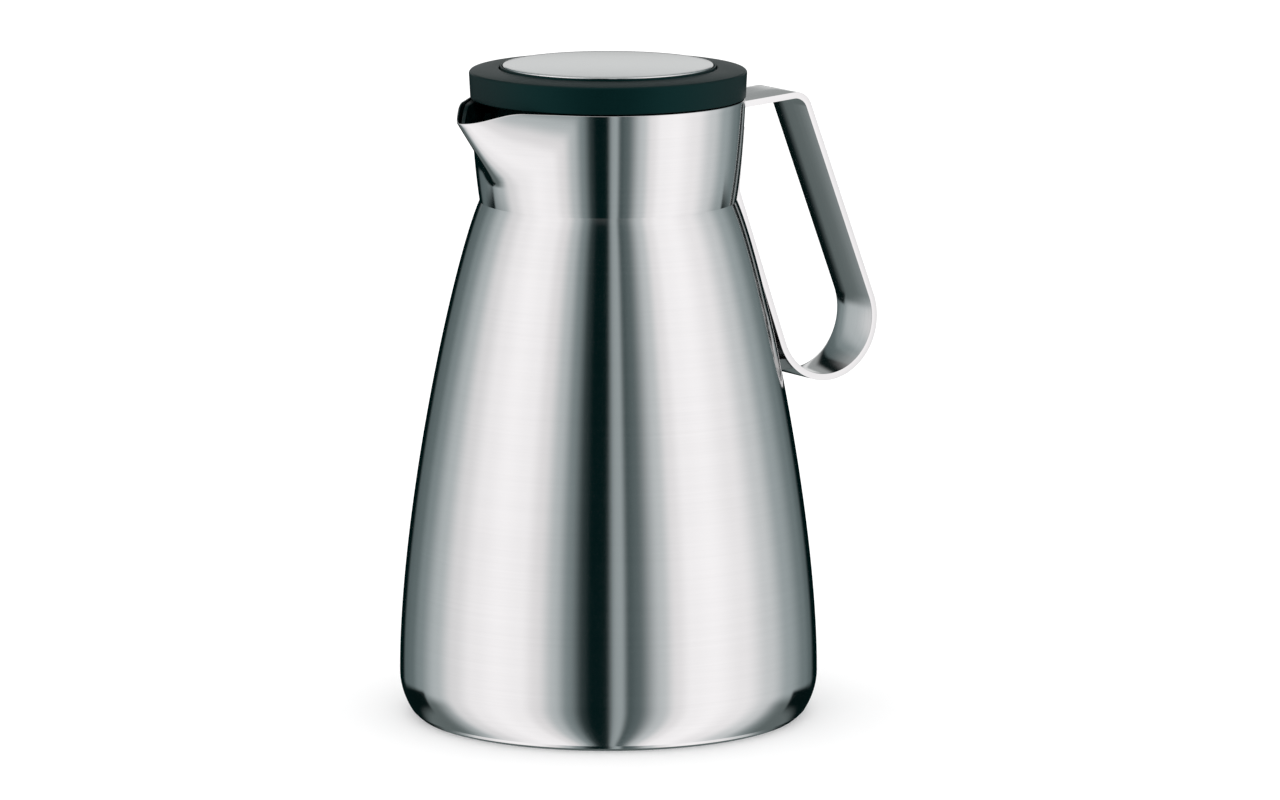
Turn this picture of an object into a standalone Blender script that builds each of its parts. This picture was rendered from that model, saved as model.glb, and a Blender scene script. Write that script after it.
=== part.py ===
"""Push-to-pour vacuum jug, about 1.5 litres.

A brushed steel shell stands round an evacuated gap and a steel flask. A steel neck collar with a
pressed spout is welded on at the waist, and one bent steel strip is the handle. The black lid screws
into a black insert in the neck. Pressing the steel disc in its middle pushes a valve open.

Metres, +Z up. The origin is the middle of the standing face. The spout points along -X and the
handle along +X. Heights of the jug's own pieces count from the floor, and heights of the lid's
pieces count from the rim of the neck.
"""

import math

import bmesh
import bpy
from mathutils import Vector

# ---- driving dimensions -------------------------------------------------------------------------
FIT = 0.0003  # gap between two pieces that touch or are welded
WALL = 0.0008  # sheet steel of shell, collar, flask and base

# Outer shape of the jug
BODY_RADIUS = 0.0706  # the belly, the widest part
BELLY_HEIGHT = 0.0143  # where the belly is widest
BELLY_RISE = 0.0531  # how far the belly's upright direction reaches up the flank
WAIST_RADIUS = 0.0431
WAIST_HEIGHT = 0.1746  # the weld between shell and collar
SHOULDER_DROP = 0.0207  # direction of the flank just below the waist: down ...
SHOULDER_FLARE = 0.0091  # ... and out
NECK_HEIGHT = 0.0344  # waist to rim
NECK_FLARE = 0.0029  # how much wider the rim is than the waist
NECK_CURVE_OUT = 0.0020  # the collar's curve: its middle control point, out from the waist ...
NECK_CURVE_UP = 0.0134  # ... and up from it

# Foot
FOOT_STEP = 0.0020  # the shell stops this far above the floor
FOOT_INSET = 0.0037  # the shell's lower edge, in from the belly
FOOT_ROUNDING = 0.0080  # height of the control point that rounds the shell's lower corner
BASE_EDGE_INSET = 0.0008  # the base plate stands this far in from the shell's edge
BASE_TAPER = 0.0014
FOOT_RING_WIDTH = 0.0057
BASE_RECESS = 0.0032
BASE_UPSTAND = 0.0050
COVER_THICKNESS = 0.0015
PORT_RADIUS = 0.0020  # evacuation hole

# Flask
VACUUM_GAP = 0.0046
FLASK_FLOOR = 0.0090
FLASK_CORNER = 0.0130
FLASK_BASE_INSET = 0.0040
FLASK_DISH = 0.0025
FLASK_SHOULDER_DROP = 0.0085
FLASK_BEND = 0.0032  # below the waist, where the flask's neck starts to widen
FLASK_NECK_SPACE = 0.0053  # between the shell's wall and the flask's neck, at the waist
FLASK_FLANGE_DEPTH = 0.0220  # the flange that closes the vacuum, below the rim
GETTER_RADIUS = 0.0050
GETTER_HEIGHT = 0.0015

# Spout, pressed out of the collar
SPOUT_REACH = 0.0186  # its flat sides would meet this far out from the rim
SPOUT_DEPTH = 0.0258  # from the rim down to its root
SPOUT_NOSE = 0.045  # radians, how blunt its tip is
LIP_DROP = 0.0043  # how far the lip dips below the rim
LIP_HALF_ANGLE = 22.0  # degrees, the part of the rim that dips

# Neck insert and the lid's thread
POUR_GAP = 0.0030  # ring-shaped way for the drink, between stopper and insert
INSERT_TOP_DROP = 0.0005
INSERT_DEPTH = 0.0200
CHANNEL_WALL = 0.0012
LINER_EASE = 1.06  # the insert's share of the spout is this much narrower than the collar's
THREAD_STARTS = 4
THREAD_LEAD = 0.0400  # rise in one turn
THREAD_SPAN = 50.0  # degrees that one rib covers
THREAD_STEP = 5.0  # degrees
THREAD_HEIGHT = 0.0026
THREAD_TOP = 0.0038  # top of the insert's ribs, below the rim
THREAD_CLEARANCE = 0.0004
THREAD_BITE = 0.0012

# Stopper
STOPPER_STEP = 0.0024  # the stopper's wall stands this far outside the flask's bore
STOPPER_WALL = 0.0020
STOPPER_FLANGE = 0.0015
FLANGE_INSET = 0.0029
SPIGOT_GAP = 0.0008
SPIGOT_WALL = 0.0018
SPIGOT_LENGTH = 0.0051
GASKET_HEIGHT = 0.0023
GASKET_WIDTH = 0.0037
LEDGE_WIDTH = 0.0021
LEDGE_HEIGHT = 0.0012
FLOOR_THICKNESS = 0.0018
GUIDE_RADIUS = 0.0065
GUIDE_LENGTH = 0.0032
OUTLET_HEIGHT = 0.0070
OUTLET_RISE = 0.0036  # from the ledge's underside to the windows
OUTLET_ANGLE = 24.0  # degrees
OUTLET_STEP = 6.0  # degrees

# Lid ring
LID_SEAT = 0.0004  # gap between rim and lid
LID_HEIGHT = 0.0091
LID_OVERHANG = 0.0005  # the ring's top edge is this much wider than the rim
LID_CROWN = 0.0009
LID_BORE_GAP = 0.0004  # running gap of the carrier in the ring
LID_EDGE = 0.0006
LID_WALL = 0.0020
BORE_WALL = 0.0014

# Button, valve and spring
BUTTON_TRAVEL = 0.0050
BUTTON_RUN = 0.0005  # running gap of the carrier in its well
CARRIER_LIP = 0.0005
CARRIER_PLATE = 0.0020
CARRIER_SKIRT = 0.0050
CARRIER_WALL = 0.0015
CARRIER_BOSS_RADIUS = 0.0050
DISC_THICKNESS = 0.0008
DISC_PROUD = 0.0009  # the disc's edge stands this far above the ring's crown
DISC_DOME = 0.0005
WELL_MARGIN = 0.0022  # left under the carrier's skirt when the button is down
STEM_RADIUS = 0.0022
STEM_COLLAR = 0.0034
STEM_COLLAR_HEIGHT = 0.0012
STEM_END = 0.0012
SEAL_WIDTH = 0.0017
SEAL_HEIGHT = 0.0016
SEAT_RADIUS = 0.0105
SEAT_THICKNESS = 0.0008
SPRING_RADIUS = 0.0085
SPRING_WIRE = 0.0009
SPRING_TURNS = 4
SPRING_POINTS = 14  # along each turn
VALVE_BORE = 0.0100
VALVE_PLATE = 0.0020
VALVE_RIDGE = 0.0006
VALVE_RIDGE_WIDTH = 0.0010
VALVE_OVERLAP = 0.0025
VALVE_SEAL_HEIGHT = 0.0008
VALVE_THICKNESS = 0.0025
VALVE_PILOT_GAP = 0.0038
VALVE_HUB = 0.0045
CLIP_RADIUS = 0.0040
CLIP_THICKNESS = 0.0008
CLIP_MOUTH = 0.0026

# Handle, one bent strip
STRAP_WIDTH = 0.0225
STRAP_THICKNESS = 0.0022
ARM_DROP = 0.0047  # middle of the arm's thickness below the rim, at the collar
ARM_RISE = 4.2  # degrees
ARM_REACH = 0.0265  # from the rim to the upper bend's corner
ARM_BEND = 0.0060
LEG_CLEARANCE = 0.0017  # inner leg to flank, half-way down
LEG_KINK_RISE = 0.0009  # the kink lies this far above the waist
LOOP_DROP = 0.0471  # the lower bend's middle, below the waist
LOOP_RADIUS = 0.0195
TAIL_GAP = 0.0075  # the tail ends this far below the arm
STAY_DROP = 0.0135  # below the loop's middle
STAY_HEIGHT = 0.0037
STAY_INSET = 0.0005

# Facets
ROUND = 40
FINE = 32
SMALL = 16
SPOUT_STEP = 3.0  # degrees between columns near the spout
NECK_STEP = 9.0  # degrees between columns elsewhere

# ---- sizes that follow ---------------------------------------------------------------------------
RIM_HEIGHT = WAIST_HEIGHT + NECK_HEIGHT
RIM_RADIUS = WAIST_RADIUS + NECK_FLARE
SPOUT_HALF_ANGLE = math.degrees(math.acos(RIM_RADIUS / (RIM_RADIUS + SPOUT_REACH)))
FLASK_NECK = WAIST_RADIUS - WALL - FLASK_NECK_SPACE  # outside
FLASK_BORE = FLASK_NECK - WALL
FLANGE_TOP = -FLASK_FLANGE_DEPTH  # from the rim
STOPPER_RADIUS = FLASK_BORE + STOPPER_STEP
INSERT_BORE = STOPPER_RADIUS + POUR_GAP
RIB_OUTER = INSERT_BORE - THREAD_CLEARANCE  # the stopper's ribs reach out to here
RIB_INNER = RIB_OUTER - THREAD_BITE  # the insert's ribs reach in to here
WELL_RADIUS = STOPPER_RADIUS - STOPPER_WALL
CARRIER_RADIUS = WELL_RADIUS - BUTTON_RUN
BORE_RADIUS = CARRIER_RADIUS + LID_BORE_GAP
DISC_RADIUS = CARRIER_RADIUS - CARRIER_LIP - FIT
LID_TOP = LID_SEAT + LID_HEIGHT
DISC_EDGE = LID_TOP + LID_CROWN + DISC_PROUD
CARRIER_TOP = DISC_EDGE - DISC_THICKNESS - FIT
CARRIER_UNDER = CARRIER_TOP - CARRIER_PLATE
SKIRT_END = CARRIER_UNDER - CARRIER_SKIRT
WELL_FLOOR = SKIRT_END - BUTTON_TRAVEL - WELL_MARGIN
SHOULDER = FLANGE_TOP + FIT + GASKET_HEIGHT + FIT  # the stopper's wall ends here, on its gasket
SPIGOT_RADIUS = FLASK_BORE - SPIGOT_GAP
SPIGOT_INNER = SPIGOT_RADIUS - SPIGOT_WALL
SPIGOT_END = SHOULDER - SPIGOT_LENGTH
LEDGE_UNDER = SHOULDER - LEDGE_HEIGHT
PLATE_TOP = LEDGE_UNDER - FIT
PLATE_UNDER = PLATE_TOP - VALVE_PLATE
RIDGE_END = PLATE_UNDER - VALVE_RIDGE
VALVE_SEAL_TOP = RIDGE_END - FIT
VALVE_TOP = VALVE_SEAL_TOP - VALVE_SEAL_HEIGHT - FIT
VALVE_RADIUS = VALVE_BORE + VALVE_OVERLAP
PILOT_RADIUS = VALVE_BORE - VALVE_PILOT_GAP
PILOT_TOP = VALVE_SEAL_TOP + VALVE_SEAL_HEIGHT
HUB_END = VALVE_TOP - VALVE_THICKNESS - VALVE_SEAL_HEIGHT
CLIP_TOP = HUB_END - FIT
STEM_BOTTOM = CLIP_TOP - CLIP_THICKNESS - STEM_END
SEAL_POCKET = STEM_RADIUS + FIT + SEAL_WIDTH + FIT
SEAL_TOP = WELL_FLOOR - FIT
SEAT_TOP = WELL_FLOOR + FIT + SEAT_THICKNESS
BOSS_END = SEAT_TOP + BUTTON_TRAVEL + 3 * FIT
ARM_HEIGHT = RIM_HEIGHT - ARM_DROP
INSERT_TOP = RIM_HEIGHT - INSERT_TOP_DROP
INSERT_BOTTOM = RIM_HEIGHT - INSERT_DEPTH


# ---- outlines ------------------------------------------------------------------------------------
def bezier(ends, count):
    """Points along the Bezier curve that a list of (radius, height) control points gives."""
    points = []
    degree = len(ends) - 1
    for i in range(count + 1):
        t = i / count
        weights = [math.comb(degree, k) * t**k * (1 - t) ** (degree - k) for k in range(degree + 1)]
        points.append(tuple(sum(w * p[axis] for w, p in zip(weights, ends)) for axis in (0, 1)))
    return points


def arc(centre, radius, start, end, count):
    """Points on an arc about centre, from start to end in degrees, 0 being outwards and 90 up."""
    angles = [math.radians(start + (end - start) * i / count) for i in range(count + 1)]
    return [(centre[0] + radius * math.cos(a), centre[1] + radius * math.sin(a)) for a in angles]


def radius_on(curve, height):
    """Radius of a falling or rising outline at a height, read between its points."""
    rising = sorted(curve, key=lambda point: point[1])
    for low, high in zip(rising, rising[1:]):
        if height <= high[1]:
            share = (height - low[1]) / (high[1] - low[1])
            return low[0] + share * (high[0] - low[0])
    return rising[-1][0]


def flank_curve(count):
    """Outside of the shell from the waist down to the belly."""
    return bezier(
        [
            (WAIST_RADIUS, WAIST_HEIGHT),
            (WAIST_RADIUS + SHOULDER_FLARE, WAIST_HEIGHT - SHOULDER_DROP),
            (BODY_RADIUS, BELLY_HEIGHT + BELLY_RISE),
            (BODY_RADIUS, BELLY_HEIGHT),
        ],
        count,
    )


def neck_curve(count):
    """Outside of the collar from the waist up to the rim, without the spout."""
    return bezier(
        [
            (WAIST_RADIUS, WAIST_HEIGHT),
            (WAIST_RADIUS + NECK_CURVE_OUT, WAIST_HEIGHT + NECK_CURVE_UP),
            (RIM_RADIUS, RIM_HEIGHT),
        ],
        count,
    )


FLANK = flank_curve(60)
NECK = neck_curve(30)


def flank_radius(height):
    return radius_on(FLANK, height)


def neck_radius(height):
    return radius_on(NECK, height)


def spout_share(angle, height):
    """How far the spout stands out at an angle from its middle and a height, from 0 to 1."""
    rise = (height - (RIM_HEIGHT - SPOUT_DEPTH)) / SPOUT_DEPTH
    if rise <= 0:
        return 0.0
    side = math.acos(RIM_RADIUS / (RIM_RADIUS + SPOUT_REACH * rise))
    aside = math.hypot(math.radians(angle), SPOUT_NOSE)
    if aside >= side:
        return 0.0
    return RIM_RADIUS * (1 / math.cos(side - aside) - 1) / SPOUT_REACH


def lip_drop(angle):
    """How far the rim dips at an angle from the spout's middle."""
    if abs(angle) >= LIP_HALF_ANGLE:
        return 0.0
    return LIP_DROP * math.cos(math.pi / 2 * angle / LIP_HALF_ANGLE) ** 2


# ---- making pieces -------------------------------------------------------------------------------
def clear_scene():
    for thing in list(bpy.data.objects):
        bpy.data.objects.remove(thing, do_unlink=True)


def material(name, colour, roughness, metallic):
    made = bpy.data.materials.new(name)
    made.use_nodes = True
    shader = made.node_tree.nodes["Principled BSDF"]
    shader.inputs["Base Color"].default_value = (*colour, 1.0)
    shader.inputs["Roughness"].default_value = roughness
    shader.inputs["Metallic"].default_value = metallic
    return made


def frame(name, height, parent=None):
    """An empty on the jug's axis, which carries the pieces of one moving group."""
    made = bpy.data.objects.new(name, None)
    bpy.context.collection.objects.link(made)
    made.parent = parent
    made.location.z = height
    return made


def piece(name, bm, finish, parent, smooth=True):
    """One named sub-part from a finished bmesh, with its faces pointing out."""
    bmesh.ops.recalc_face_normals(bm, faces=bm.faces)
    mesh = bpy.data.meshes.new(name)
    bm.to_mesh(mesh)
    bm.free()
    if smooth:
        mesh.shade_smooth()
        mesh.set_sharp_from_angle(angle=math.radians(30))
    made = bpy.data.objects.new(name, mesh)
    made.data.materials.append(finish)
    made.parent = parent
    bpy.context.collection.objects.link(made)
    return made


def turned(name, outline, finish, parent, facets=ROUND):
    """A piece turned about the jug's axis from a closed (radius, height) outline."""
    bm = bmesh.new()
    corners = [bm.verts.new((radius, 0.0, height)) for radius, height in outline]
    edges = [bm.edges.new(pair) for pair in zip(corners, corners[1:] + corners[:1])]
    bmesh.ops.spin(
        bm,
        geom=corners + edges,
        cent=(0, 0, 0),
        axis=(0, 0, 1),
        angle=2 * math.pi,
        steps=facets,
        use_merge=True,
    )
    bmesh.ops.remove_doubles(bm, verts=bm.verts, dist=1e-7)
    on_axis = [edge for edge in bm.edges if edge.calc_length() < 1e-9 or not edge.link_faces]
    bmesh.ops.delete(bm, geom=on_axis, context="EDGES")
    return piece(name, bm, finish, parent)


def tube_of_loops(bm, loops):
    """Bridges each ring of vertices to the next, and the last to the first."""
    for lower, upper in zip(loops, loops[1:] + loops[:1]):
        for i, vertex in enumerate(lower):
            after = (i + 1) % len(lower)
            bm.faces.new((vertex, lower[after], upper[after], upper[i]))


def bar(name, sections, finish, parent):
    """A solid bar through a list of four-cornered sections."""
    bm = bmesh.new()
    rings = [[bm.verts.new(corner) for corner in section] for section in sections]
    for near, far in zip(rings, rings[1:]):
        for i in range(4):
            bm.faces.new((near[i], near[(i + 1) % 4], far[(i + 1) % 4], far[i]))
    bm.faces.new(rings[0])
    bm.faces.new(rings[-1])
    return piece(name, bm, finish, parent, smooth=False)


def combine(target, tools, operation):
    """Joins or cuts target with tools, and removes the tools."""
    for tool in tools:
        change = target.modifiers.new(operation, "BOOLEAN")
        change.object = tool
        change.operation = operation
        change.solver = "EXACT"
    bpy.context.view_layer.update()
    whole = target.evaluated_get(bpy.context.evaluated_depsgraph_get())
    mesh = bpy.data.meshes.new_from_object(whole)
    mesh.name = target.name
    target.modifiers.clear()
    target.data = mesh
    for tool in tools:
        bpy.data.objects.remove(tool, do_unlink=True)


def neck_angles():
    """Angles of the columns round the neck, close together about the spout's middle at 0."""
    angles = []
    reach = SPOUT_HALF_ANGLE + 3 * SPOUT_STEP
    fine = round(reach / SPOUT_STEP)
    angles += [i * SPOUT_STEP for i in range(-fine, fine + 1)]
    rest = 360 - 2 * fine * SPOUT_STEP
    coarse = round(rest / NECK_STEP)
    angles += [fine * SPOUT_STEP + rest * i / coarse for i in range(1, coarse)]
    return angles


def neck_shell(name, rows, finish, parent):
    """A ring in the neck, from rows of (height at an angle, radius at an angle and height) functions."""
    bm = bmesh.new()
    loops = []
    for height_at, radius_at in rows:
        loop = []
        for angle in neck_angles():
            near = angle if angle <= 180 else angle - 360
            height = height_at(near)
            radius = radius_at(near, height)
            turn = math.pi - math.radians(angle)
            loop.append(bm.verts.new((radius * math.cos(turn), radius * math.sin(turn), height)))
        loops.append(loop)
    tube_of_loops(bm, loops)
    return piece(name, bm, finish, parent)


def ring_section(turn, inner, outer, low, high):
    """The four corners of a rib's section at an angle in radians."""
    across = Vector((math.cos(turn), math.sin(turn), 0))
    return [
        (*(across * radius).xy, height)
        for radius, height in ((inner, low), (outer, low), (outer, high), (inner, high))
    ]


def thread_ribs(inner, outer, top, parent, finish):
    """The ribs of a thread of several starts, each covering THREAD_SPAN and ending at height top."""
    ribs = []
    steps = round(THREAD_SPAN / THREAD_STEP)
    for start in range(THREAD_STARTS):
        middle = 360 / THREAD_STARTS * (start + 0.5)
        sections = []
        for i in range(steps + 1):
            share = i / steps
            angle = middle + THREAD_SPAN * (share - 0.5)
            high = top - THREAD_LEAD * THREAD_SPAN / 360 * (1 - share)
            sections.append(ring_section(math.radians(angle), inner, outer, high - THREAD_HEIGHT, high))
        ribs.append(bar(f"rib_{start}", sections, finish, parent))
    return ribs


# ---- the jug -------------------------------------------------------------------------------------
def body_shell(steel, jug):
    """The outer shell: waist at its top, rolled in to a step just above the floor."""
    corner = [
        (BODY_RADIUS, BELLY_HEIGHT),
        (BODY_RADIUS, FOOT_ROUNDING),
        (BODY_RADIUS - FOOT_INSET, FOOT_STEP),
    ]
    outside = flank_curve(9) + bezier(corner, 4)[1:]
    inside = [(radius - WALL, height) for radius, height in reversed(outside)]
    turned("body_shell", outside + inside, steel, jug)


def base_plate(steel, jug):
    """Pressed base, welded in at the shell's edge; its ring is what the jug stands on."""
    edge = BODY_RADIUS - FOOT_INSET - BASE_EDGE_INSET
    upstand = edge - WALL / 2
    foot = edge - BASE_TAPER
    hollow = foot - FOOT_RING_WIDTH
    recess = hollow - BASE_RECESS / 2
    step = FOOT_STEP - FIT
    outline = [
        (upstand, BASE_UPSTAND),
        (upstand, step),
        (edge, step),
        (foot, 0.0),
        (hollow, 0.0),
        (recess, BASE_RECESS),
        (PORT_RADIUS, BASE_RECESS),
        (PORT_RADIUS, BASE_RECESS + WALL),
        (recess + WALL / 2, BASE_RECESS + WALL),
        (hollow + WALL / 2, WALL),
        (foot - WALL / 2, WALL),
        (upstand - WALL, step),
        (upstand - WALL, BASE_UPSTAND),
    ]
    turned("base_plate", outline, steel, jug)
    return recess


def base_cover(rubber, jug, recess_radius):
    """Black rubber disc in the base's recess, level with the foot ring; it hides the evacuation hole."""
    radius = recess_radius - FIT
    outline = [
        (0.0, 0.0),
        (radius, 0.0),
        (radius, BASE_RECESS - FIT),
        (radius - COVER_THICKNESS, BASE_RECESS - FIT),
        (radius - COVER_THICKNESS, COVER_THICKNESS),
        (0.0, COVER_THICKNESS),
    ]
    turned("base_cover", outline[::-1], rubber, jug, FINE)


def vacuum_seal(solder, jug):
    """Plug that closes the evacuation hole in the base plate from below."""
    head = PORT_RADIUS * 2
    outline = [
        (0.0, COVER_THICKNESS + FIT),
        (head, COVER_THICKNESS + FIT),
        (head, BASE_RECESS - FIT),
        (PORT_RADIUS - FIT, BASE_RECESS - FIT),
        (PORT_RADIUS - FIT, BASE_RECESS + WALL + FIT),
        (0.0, BASE_RECESS + WALL + FIT),
    ]
    turned("vacuum_seal", outline[::-1], solder, jug, SMALL)


def flask_radius(height):
    return flank_radius(height) - WALL - VACUUM_GAP


def inner_flask(steel, jug):
    """The flask's wall, from its rounded lower corner to the flange that is welded into the collar."""
    top = RIM_HEIGHT + FLANGE_TOP
    shoulder = WAIST_HEIGHT - FLASK_SHOULDER_DROP
    corner_height = FLASK_FLOOR + FLASK_CORNER
    corner_radius = flask_radius(corner_height)
    flange = neck_radius(top) - WALL - FIT
    neck = [
        (flange, top),
        (flange, top - WALL),
        (FLASK_NECK + WALL, top - WALL),
        (FLASK_NECK, top - 2 * WALL),
    ]
    blend = bezier(
        [
            (FLASK_NECK, WAIST_HEIGHT + WALL),
            (FLASK_NECK, WAIST_HEIGHT - FLASK_BEND),
            (flask_radius(shoulder), shoulder),
        ],
        3,
    )
    count = 6
    drop = (shoulder - corner_height) / count
    wall = [(flask_radius(shoulder - drop * i), shoulder - drop * i) for i in range(1, count)]
    centre = (corner_radius - FLASK_CORNER, corner_height)
    corner = arc(centre, FLASK_CORNER, 0, -90, 4)
    inner_corner = arc(centre, FLASK_CORNER - WALL, 0, -90, 4)
    outside = blend + wall + corner
    inside = [(radius - WALL, height) for radius, height in blend + wall] + inner_corner
    mouth = [(FLASK_BORE, top - 1.5 * WALL), (FLASK_BORE + WALL / 2, top)]
    turned("inner_flask", neck + outside + inside[::-1] + mouth, steel, jug, FINE)
    return corner_radius - FLASK_CORNER


def flask_base(steel, jug, weld_radius):
    """Dished disc welded into the bottom of the flask."""
    radius = weld_radius - FIT
    dish = [
        (radius, FLASK_FLOOR),
        (radius - FLASK_BASE_INSET, FLASK_FLOOR),
        (radius - 2 * FLASK_BASE_INSET, FLASK_FLOOR + FLASK_DISH),
        (0.0, FLASK_FLOOR + FLASK_DISH),
    ]
    upper = [(r, height + WALL) for r, height in dish]
    turned("flask_base", upper[::-1] + dish, steel, jug, FINE)


def getter_capsule(metal, jug):
    """Small capsule under the flask that binds the last gas in the vacuum."""
    top = FLASK_FLOOR + FLASK_DISH - FIT
    outline = [
        (0.0, top),
        (GETTER_RADIUS, top),
        (GETTER_RADIUS, top - GETTER_HEIGHT),
        (0.0, top - GETTER_HEIGHT),
    ]
    turned("getter_capsule", outline, metal, jug, SMALL)


def neck_collar(steel, jug):
    """Collar above the waist weld, with the spout pressed out of it."""
    foot = WAIST_HEIGHT + FIT

    def outside(inset):
        def radius_at(angle, height):
            return neck_radius(height) - inset + SPOUT_REACH * spout_share(angle, height)

        return radius_at

    def height(share):
        return lambda angle: foot + (RIM_HEIGHT - lip_drop(angle) - foot) * share

    count = 8
    shares = [i / count for i in range(count + 1)]
    rows = [(height(share), outside(0.0)) for share in shares]
    rows += [(height(share), outside(WALL)) for share in shares[::-1]]
    neck_shell("neck_collar", rows, steel, jug)


def insert_radius(angle, height):
    """Outside of the insert, which lines the collar and its spout."""
    share = spout_share(angle * LINER_EASE, height)
    return neck_radius(height) - WALL - 2 * FIT + SPOUT_REACH * share


def channel_radius(angle, height):
    """Inside of the insert: a plain bore that runs out into the spout as its pouring channel."""
    share = spout_share(angle * LINER_EASE, height)
    widening = insert_radius(angle, height) - CHANNEL_WALL - INSERT_BORE
    return INSERT_BORE + widening * min(1.0, 4 * share)


def neck_insert(plastic, jug):
    """Black ring in the neck: it lines the spout and carries the thread for the stopper."""

    def height(share):
        return lambda angle: INSERT_BOTTOM + (INSERT_TOP - lip_drop(angle) - INSERT_BOTTOM) * share

    count = 6
    shares = [i / count for i in range(count + 1)]
    rows = [(height(share), insert_radius) for share in shares]
    rows += [(height(share), channel_radius) for share in shares[::-1]]
    ring = neck_shell("neck_insert", rows, plastic, jug)
    root = INSERT_BORE + CHANNEL_WALL / 2
    top = RIM_HEIGHT - THREAD_TOP
    combine(ring, thread_ribs(RIB_INNER, root, top, jug, plastic), "UNION")


def insert_gasket(silicone, jug):
    """Flat ring between the flask's flange and the insert."""
    bottom = RIM_HEIGHT + FLANGE_TOP + FIT
    top = INSERT_BOTTOM - FIT
    outer = neck_radius(bottom) - WALL - 2 * FIT
    outline = [(INSERT_BORE + FIT, top), (outer, top), (outer, bottom), (INSERT_BORE + FIT, bottom)]
    turned("insert_gasket", outline, silicone, jug)


# ---- the handle ----------------------------------------------------------------------------------
def handle_path():
    """Middle line of the strip as (distance from the axis, height), from the arm to the tail."""
    half = STRAP_THICKNESS / 2
    rise = math.radians(ARM_RISE)
    corner = Vector((RIM_RADIUS + ARM_REACH, ARM_HEIGHT + ARM_REACH * math.tan(rise)))
    start = Vector((RIM_RADIUS - WALL, ARM_HEIGHT - WALL * math.tan(rise)))
    kink_height = WAIST_HEIGHT + LEG_KINK_RISE
    kink = Vector((neck_radius(kink_height) + FIT + half, kink_height))
    tail_height = ARM_HEIGHT - TAIL_GAP
    tail = Vector((neck_radius(tail_height) + FIT + half, tail_height))
    loop_height = WAIST_HEIGHT - LOOP_DROP
    middle = (WAIST_HEIGHT + loop_height) / 2
    passing = flank_radius(middle) + LEG_CLEARANCE + half
    leg = math.atan2(passing - kink.x, kink.y - middle)
    out = kink.x + (kink.y - loop_height) * math.tan(leg) + LOOP_RADIUS / math.cos(leg)
    loop = Vector((out, loop_height))
    down = loop - corner
    lean = math.atan2(down.x, -down.y) + math.asin(LOOP_RADIUS / down.length)
    turn = math.pi / 2 - lean + rise
    into_bend = ARM_BEND * math.tan(turn / 2)
    bend = corner + Vector((-math.cos(rise), -math.sin(rise))) * into_bend
    bend += Vector((math.sin(rise), -math.cos(rise))) * ARM_BEND
    path = [tuple(start)]
    path += arc(bend, ARM_BEND, 90 + ARM_RISE, math.degrees(lean), 6)
    path += arc(loop, LOOP_RADIUS, math.degrees(lean), math.degrees(leg) - 180, 20)
    path += [tuple(kink), tuple(tail)]
    return path, loop


def strip_sections(path, width, thickness):
    """Four-cornered sections square to a path of (x, z) points."""
    points = [Vector(point) for point in path]
    sections = []
    for i, point in enumerate(points):
        before = points[max(i - 1, 0)]
        after = points[min(i + 1, len(points) - 1)]
        incoming = (point - before).normalized() if i else (after - point).normalized()
        outgoing = (after - point).normalized() if i < len(points) - 1 else incoming
        along = (incoming + outgoing).normalized()
        mitre = thickness / 2 / along.dot(incoming)
        side = Vector((along.y, -along.x)) * mitre
        corners = []
        for sign, y in ((1, width / 2), (1, -width / 2), (-1, -width / 2), (-1, width / 2)):
            edge = point + side * sign
            corners.append((edge.x, y, edge.y))
        sections.append(corners)
    return sections


def neck_cutter(parent, finish, gap):
    """A solid neck, larger by gap, to cut the strip's end to the collar."""
    points = [(radius + gap, height) for radius, height in neck_curve(10)]
    outline = [(0.0, WAIST_HEIGHT)] + points + [(0.0, RIM_HEIGHT)]
    return turned("neck_cutter", outline[::-1], finish, parent)


def handle_strap(steel, jug):
    """Flat steel strip, bent and welded to the collar at both ends."""
    path, loop = handle_path()
    strap = bar("handle_strap", strip_sections(path, STRAP_WIDTH, STRAP_THICKNESS), steel, jug)
    combine(strap, [neck_cutter(jug, steel, FIT)], "DIFFERENCE")
    return loop


def handle_stay(steel, jug, loop):
    """Short bar that holds the strip's lower bend off the flank."""
    middle = loop.y - STAY_DROP
    width = STRAP_WIDTH - 2 * STAY_INSET
    low = middle - STAY_HEIGHT / 2
    high = middle + STAY_HEIGHT / 2
    corners = ((-width / 2, low), (width / 2, low), (width / 2, high), (-width / 2, high))
    ends = (flank_radius(middle) - 2 * WALL, loop.x)
    stay = bar("handle_stay", [[(x, y, z) for y, z in corners] for x in ends], steel, jug)
    wall = [(flank_radius(z) + FIT, z) for z in (high + STAY_HEIGHT, middle, low - STAY_HEIGHT)]
    flank = turned("flank_cutter", [(0.0, wall[0][1])] + wall + [(0.0, wall[2][1])], steel, jug)
    hole = bmesh.new()
    reach = LOOP_RADIUS + STRAP_THICKNESS / 2 + FIT
    rim = [(loop.x + x, loop.y + z) for x, z in arc((0, 0), reach, 0, 360, ROUND)[:-1]]
    rings = [[hole.verts.new((x, y, z)) for x, z in rim] for y in (-width, width)]
    hole.faces.new(rings[0])
    hole.faces.new(rings[1])
    for i in range(len(rim)):
        after = (i + 1) % len(rim)
        hole.faces.new((rings[0][i], rings[0][after], rings[1][after], rings[1][i]))
    bend = piece("bend_cutter", hole, steel, jug, smooth=False)
    combine(stay, [flank, bend], "DIFFERENCE")


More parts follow.
